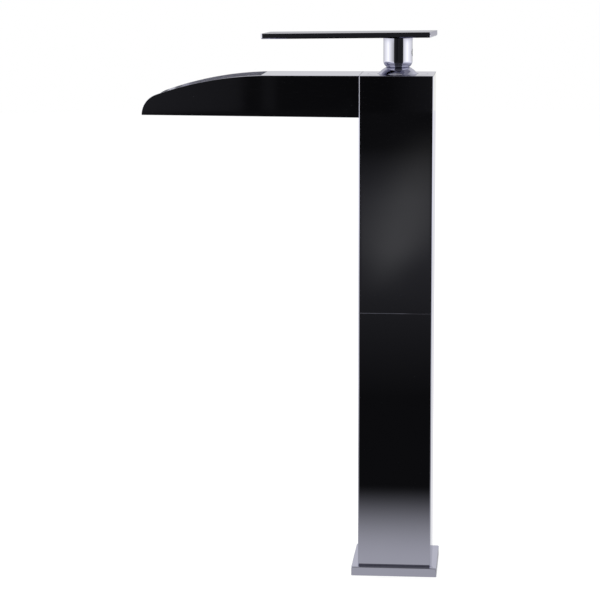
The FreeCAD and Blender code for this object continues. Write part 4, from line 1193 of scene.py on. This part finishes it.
def makeRoom():
    world = bpy.data.worlds.new("studio")
    bpy.context.scene.world = world
    world.use_nodes = True
    tree = world.node_tree
    tree.nodes.clear()
    direction = addNode(tree, "ShaderNodeTexCoord").outputs["Generated"]
    x, y, z = apart(tree, direction)
    degrees = calculate(tree, "MULTIPLY", sideways(tree, x, y), -math.degrees(1))
    wall = along(tree, degrees, darkWall)
    front = calculate(tree, "ADD", wall, along(tree, z, frontRoom))
    walls = tinted(tree, along(tree, calculate(tree, "ABSOLUTE", degrees), sideWalls), "sideTint")
    room = along(tree, calculate(tree, "ADD", z, studio["roomFoot"]), backRoom)
    back = blend(tree, fade(tree, z, *studio["wallTop"]), walls, room)
    level = tinted(tree, blend(tree, frontMask(tree, x, y), back, front), "tint")
    path = addNode(tree, "ShaderNodeLightPath").outputs
    mirrored = calculate(tree, "MAXIMUM", path["Is Glossy Ray"], path["Is Transmission Ray"])
    level = blend(tree, mirrored, grey(studio["soften"]), level)
    level = blend(tree, path["Is Camera Ray"], level, grey(1.0))
    shown = addNode(tree, "ShaderNodeBackground", {"Color": level, "Strength": 1.0})
    addNode(tree, "ShaderNodeOutputWorld", {"Surface": shown.outputs[0]})


def glowPatch(tree, x, ahead):
    # a soft light patch on the floor in front
    start, end, low, high = glow["spread"]
    width = fade(tree, ahead, start, end, low, high)
    across = calculate(tree, "DIVIDE", calculate(tree, "SUBTRACT", x, glow["place"]), width)
    squared = calculate(tree, "POWER", across, 2.0)
    bell = calculate(tree, "EXPONENT", calculate(tree, "MULTIPLY", squared, -1.0))
    rise = fade(tree, ahead, *glow["rise"], 0.0, glow["level"])
    fall = fade(tree, ahead, *glow["fall"], 1.0, 0.0)
    return calculate(tree, "MULTIPLY", bell, calculate(tree, "MULTIPLY", rise, fall))


def makeFloor():
    material = bpy.data.materials.new("paperFloor")
    material.use_nodes = True
    tree = material.node_tree
    tree.nodes.clear()
    where = addNode(tree, "ShaderNodeTexCoord").outputs["Object"]
    x, y = apart(tree, where)[:2]
    ahead = calculate(tree, "SUBTRACT", calculate(tree, "MULTIPLY", y, -1.0), columnHalf * mm)
    start, end, level = nearFloor
    near = calculate(tree, "ADD", fade(tree, ahead, start, end, level, 0.0), along(tree, ahead, farFloor))
    patch = tinted(tree, glowPatch(tree, x, ahead), "glowTint")
    front = vectorMath(tree, "ADD", tinted(tree, near, "tint"), patch)[0]
    out = vectorMath(tree, "LENGTH", where)["Value"]
    back = fade(tree, calculate(tree, "ABSOLUTE", sideways(tree, x, y)), *studio["backEdge"])
    side = tinted(tree, blend(tree, back, along(tree, out, sideFloor), grey(backFloor)), "tint")
    seen = blend(tree, frontMask(tree, x, y), side, front)
    path = addNode(tree, "ShaderNodeLightPath").outputs
    paper = addNode(tree, "ShaderNodeBsdfDiffuse", {
        "Color": blend(tree, path["Is Camera Ray"], grey(studio["paper"]), grey(studio["floorShade"]))})
    shine = calculate(tree, "MULTIPLY", path["Is Camera Ray"], studio["floorGlow"])
    lit = addNode(tree, "ShaderNodeEmission", {"Color": (1, 1, 1, 1), "Strength": shine})
    plain = addNode(tree, "ShaderNodeAddShader", {0: paper.outputs[0], 1: lit.outputs[0]})
    mirrored = addNode(tree, "ShaderNodeEmission", {"Color": seen, "Strength": 1.0})
    shown = addNode(tree, "ShaderNodeMixShader", {
        0: path["Is Glossy Ray"], 1: plain.outputs[0], 2: mirrored.outputs[0]})
    addNode(tree, "ShaderNodeOutputMaterial", {"Surface": shown.outputs[0]})
    material.cycles.emission_sampling = "NONE"
    mesh = bmesh.new()
    bmesh.ops.create_circle(
        mesh, cap_ends=True, segments=studio["floorSteps"], radius=studio["floorReach"] / mm)
    floor = toObject(mesh, "floor")
    floor.data.materials.append(material)
    floor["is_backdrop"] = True


lampAim = (0, 0, 0.16)  # m
lamps = {
    # place, width and height in m, watts
    "overhead": ((-0.25, 0.30, 1.60), 1.3, 1.3, 11.0),
    "leftStrip": ((-1.48, -0.28, 0.65), 0.28, 1.3, 1.9),
    "rightStrip": ((1.50, -0.15, 0.65), 0.28, 1.3, 1.9),
}


def makeLamp(name, spot, width, height, watts):
    data = bpy.data.lights.new(name, "AREA")
    data.shape = "RECTANGLE"
    data.size = width
    data.size_y = height
    data.energy = watts
    lamp = bpy.data.objects.new(name, data)
    lamp.location = spot
    aim = Vector(lampAim) - Vector(spot)
    lamp.rotation_euler = aim.to_track_quat("-Z", "Y").to_euler()
    lamp.visible_camera = False
    lamp.visible_glossy = False
    bpy.context.scene.collection.objects.link(lamp)


makeRoom()
makeFloor()
for name, values in lamps.items():
    makeLamp(name, *values)
print("studio ready")

bpy.context.view_layer.update()
size = {"cad": cadBox, "visual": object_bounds()}
size = {name: [list(corner) for corner in box] for name, box in size.items()}
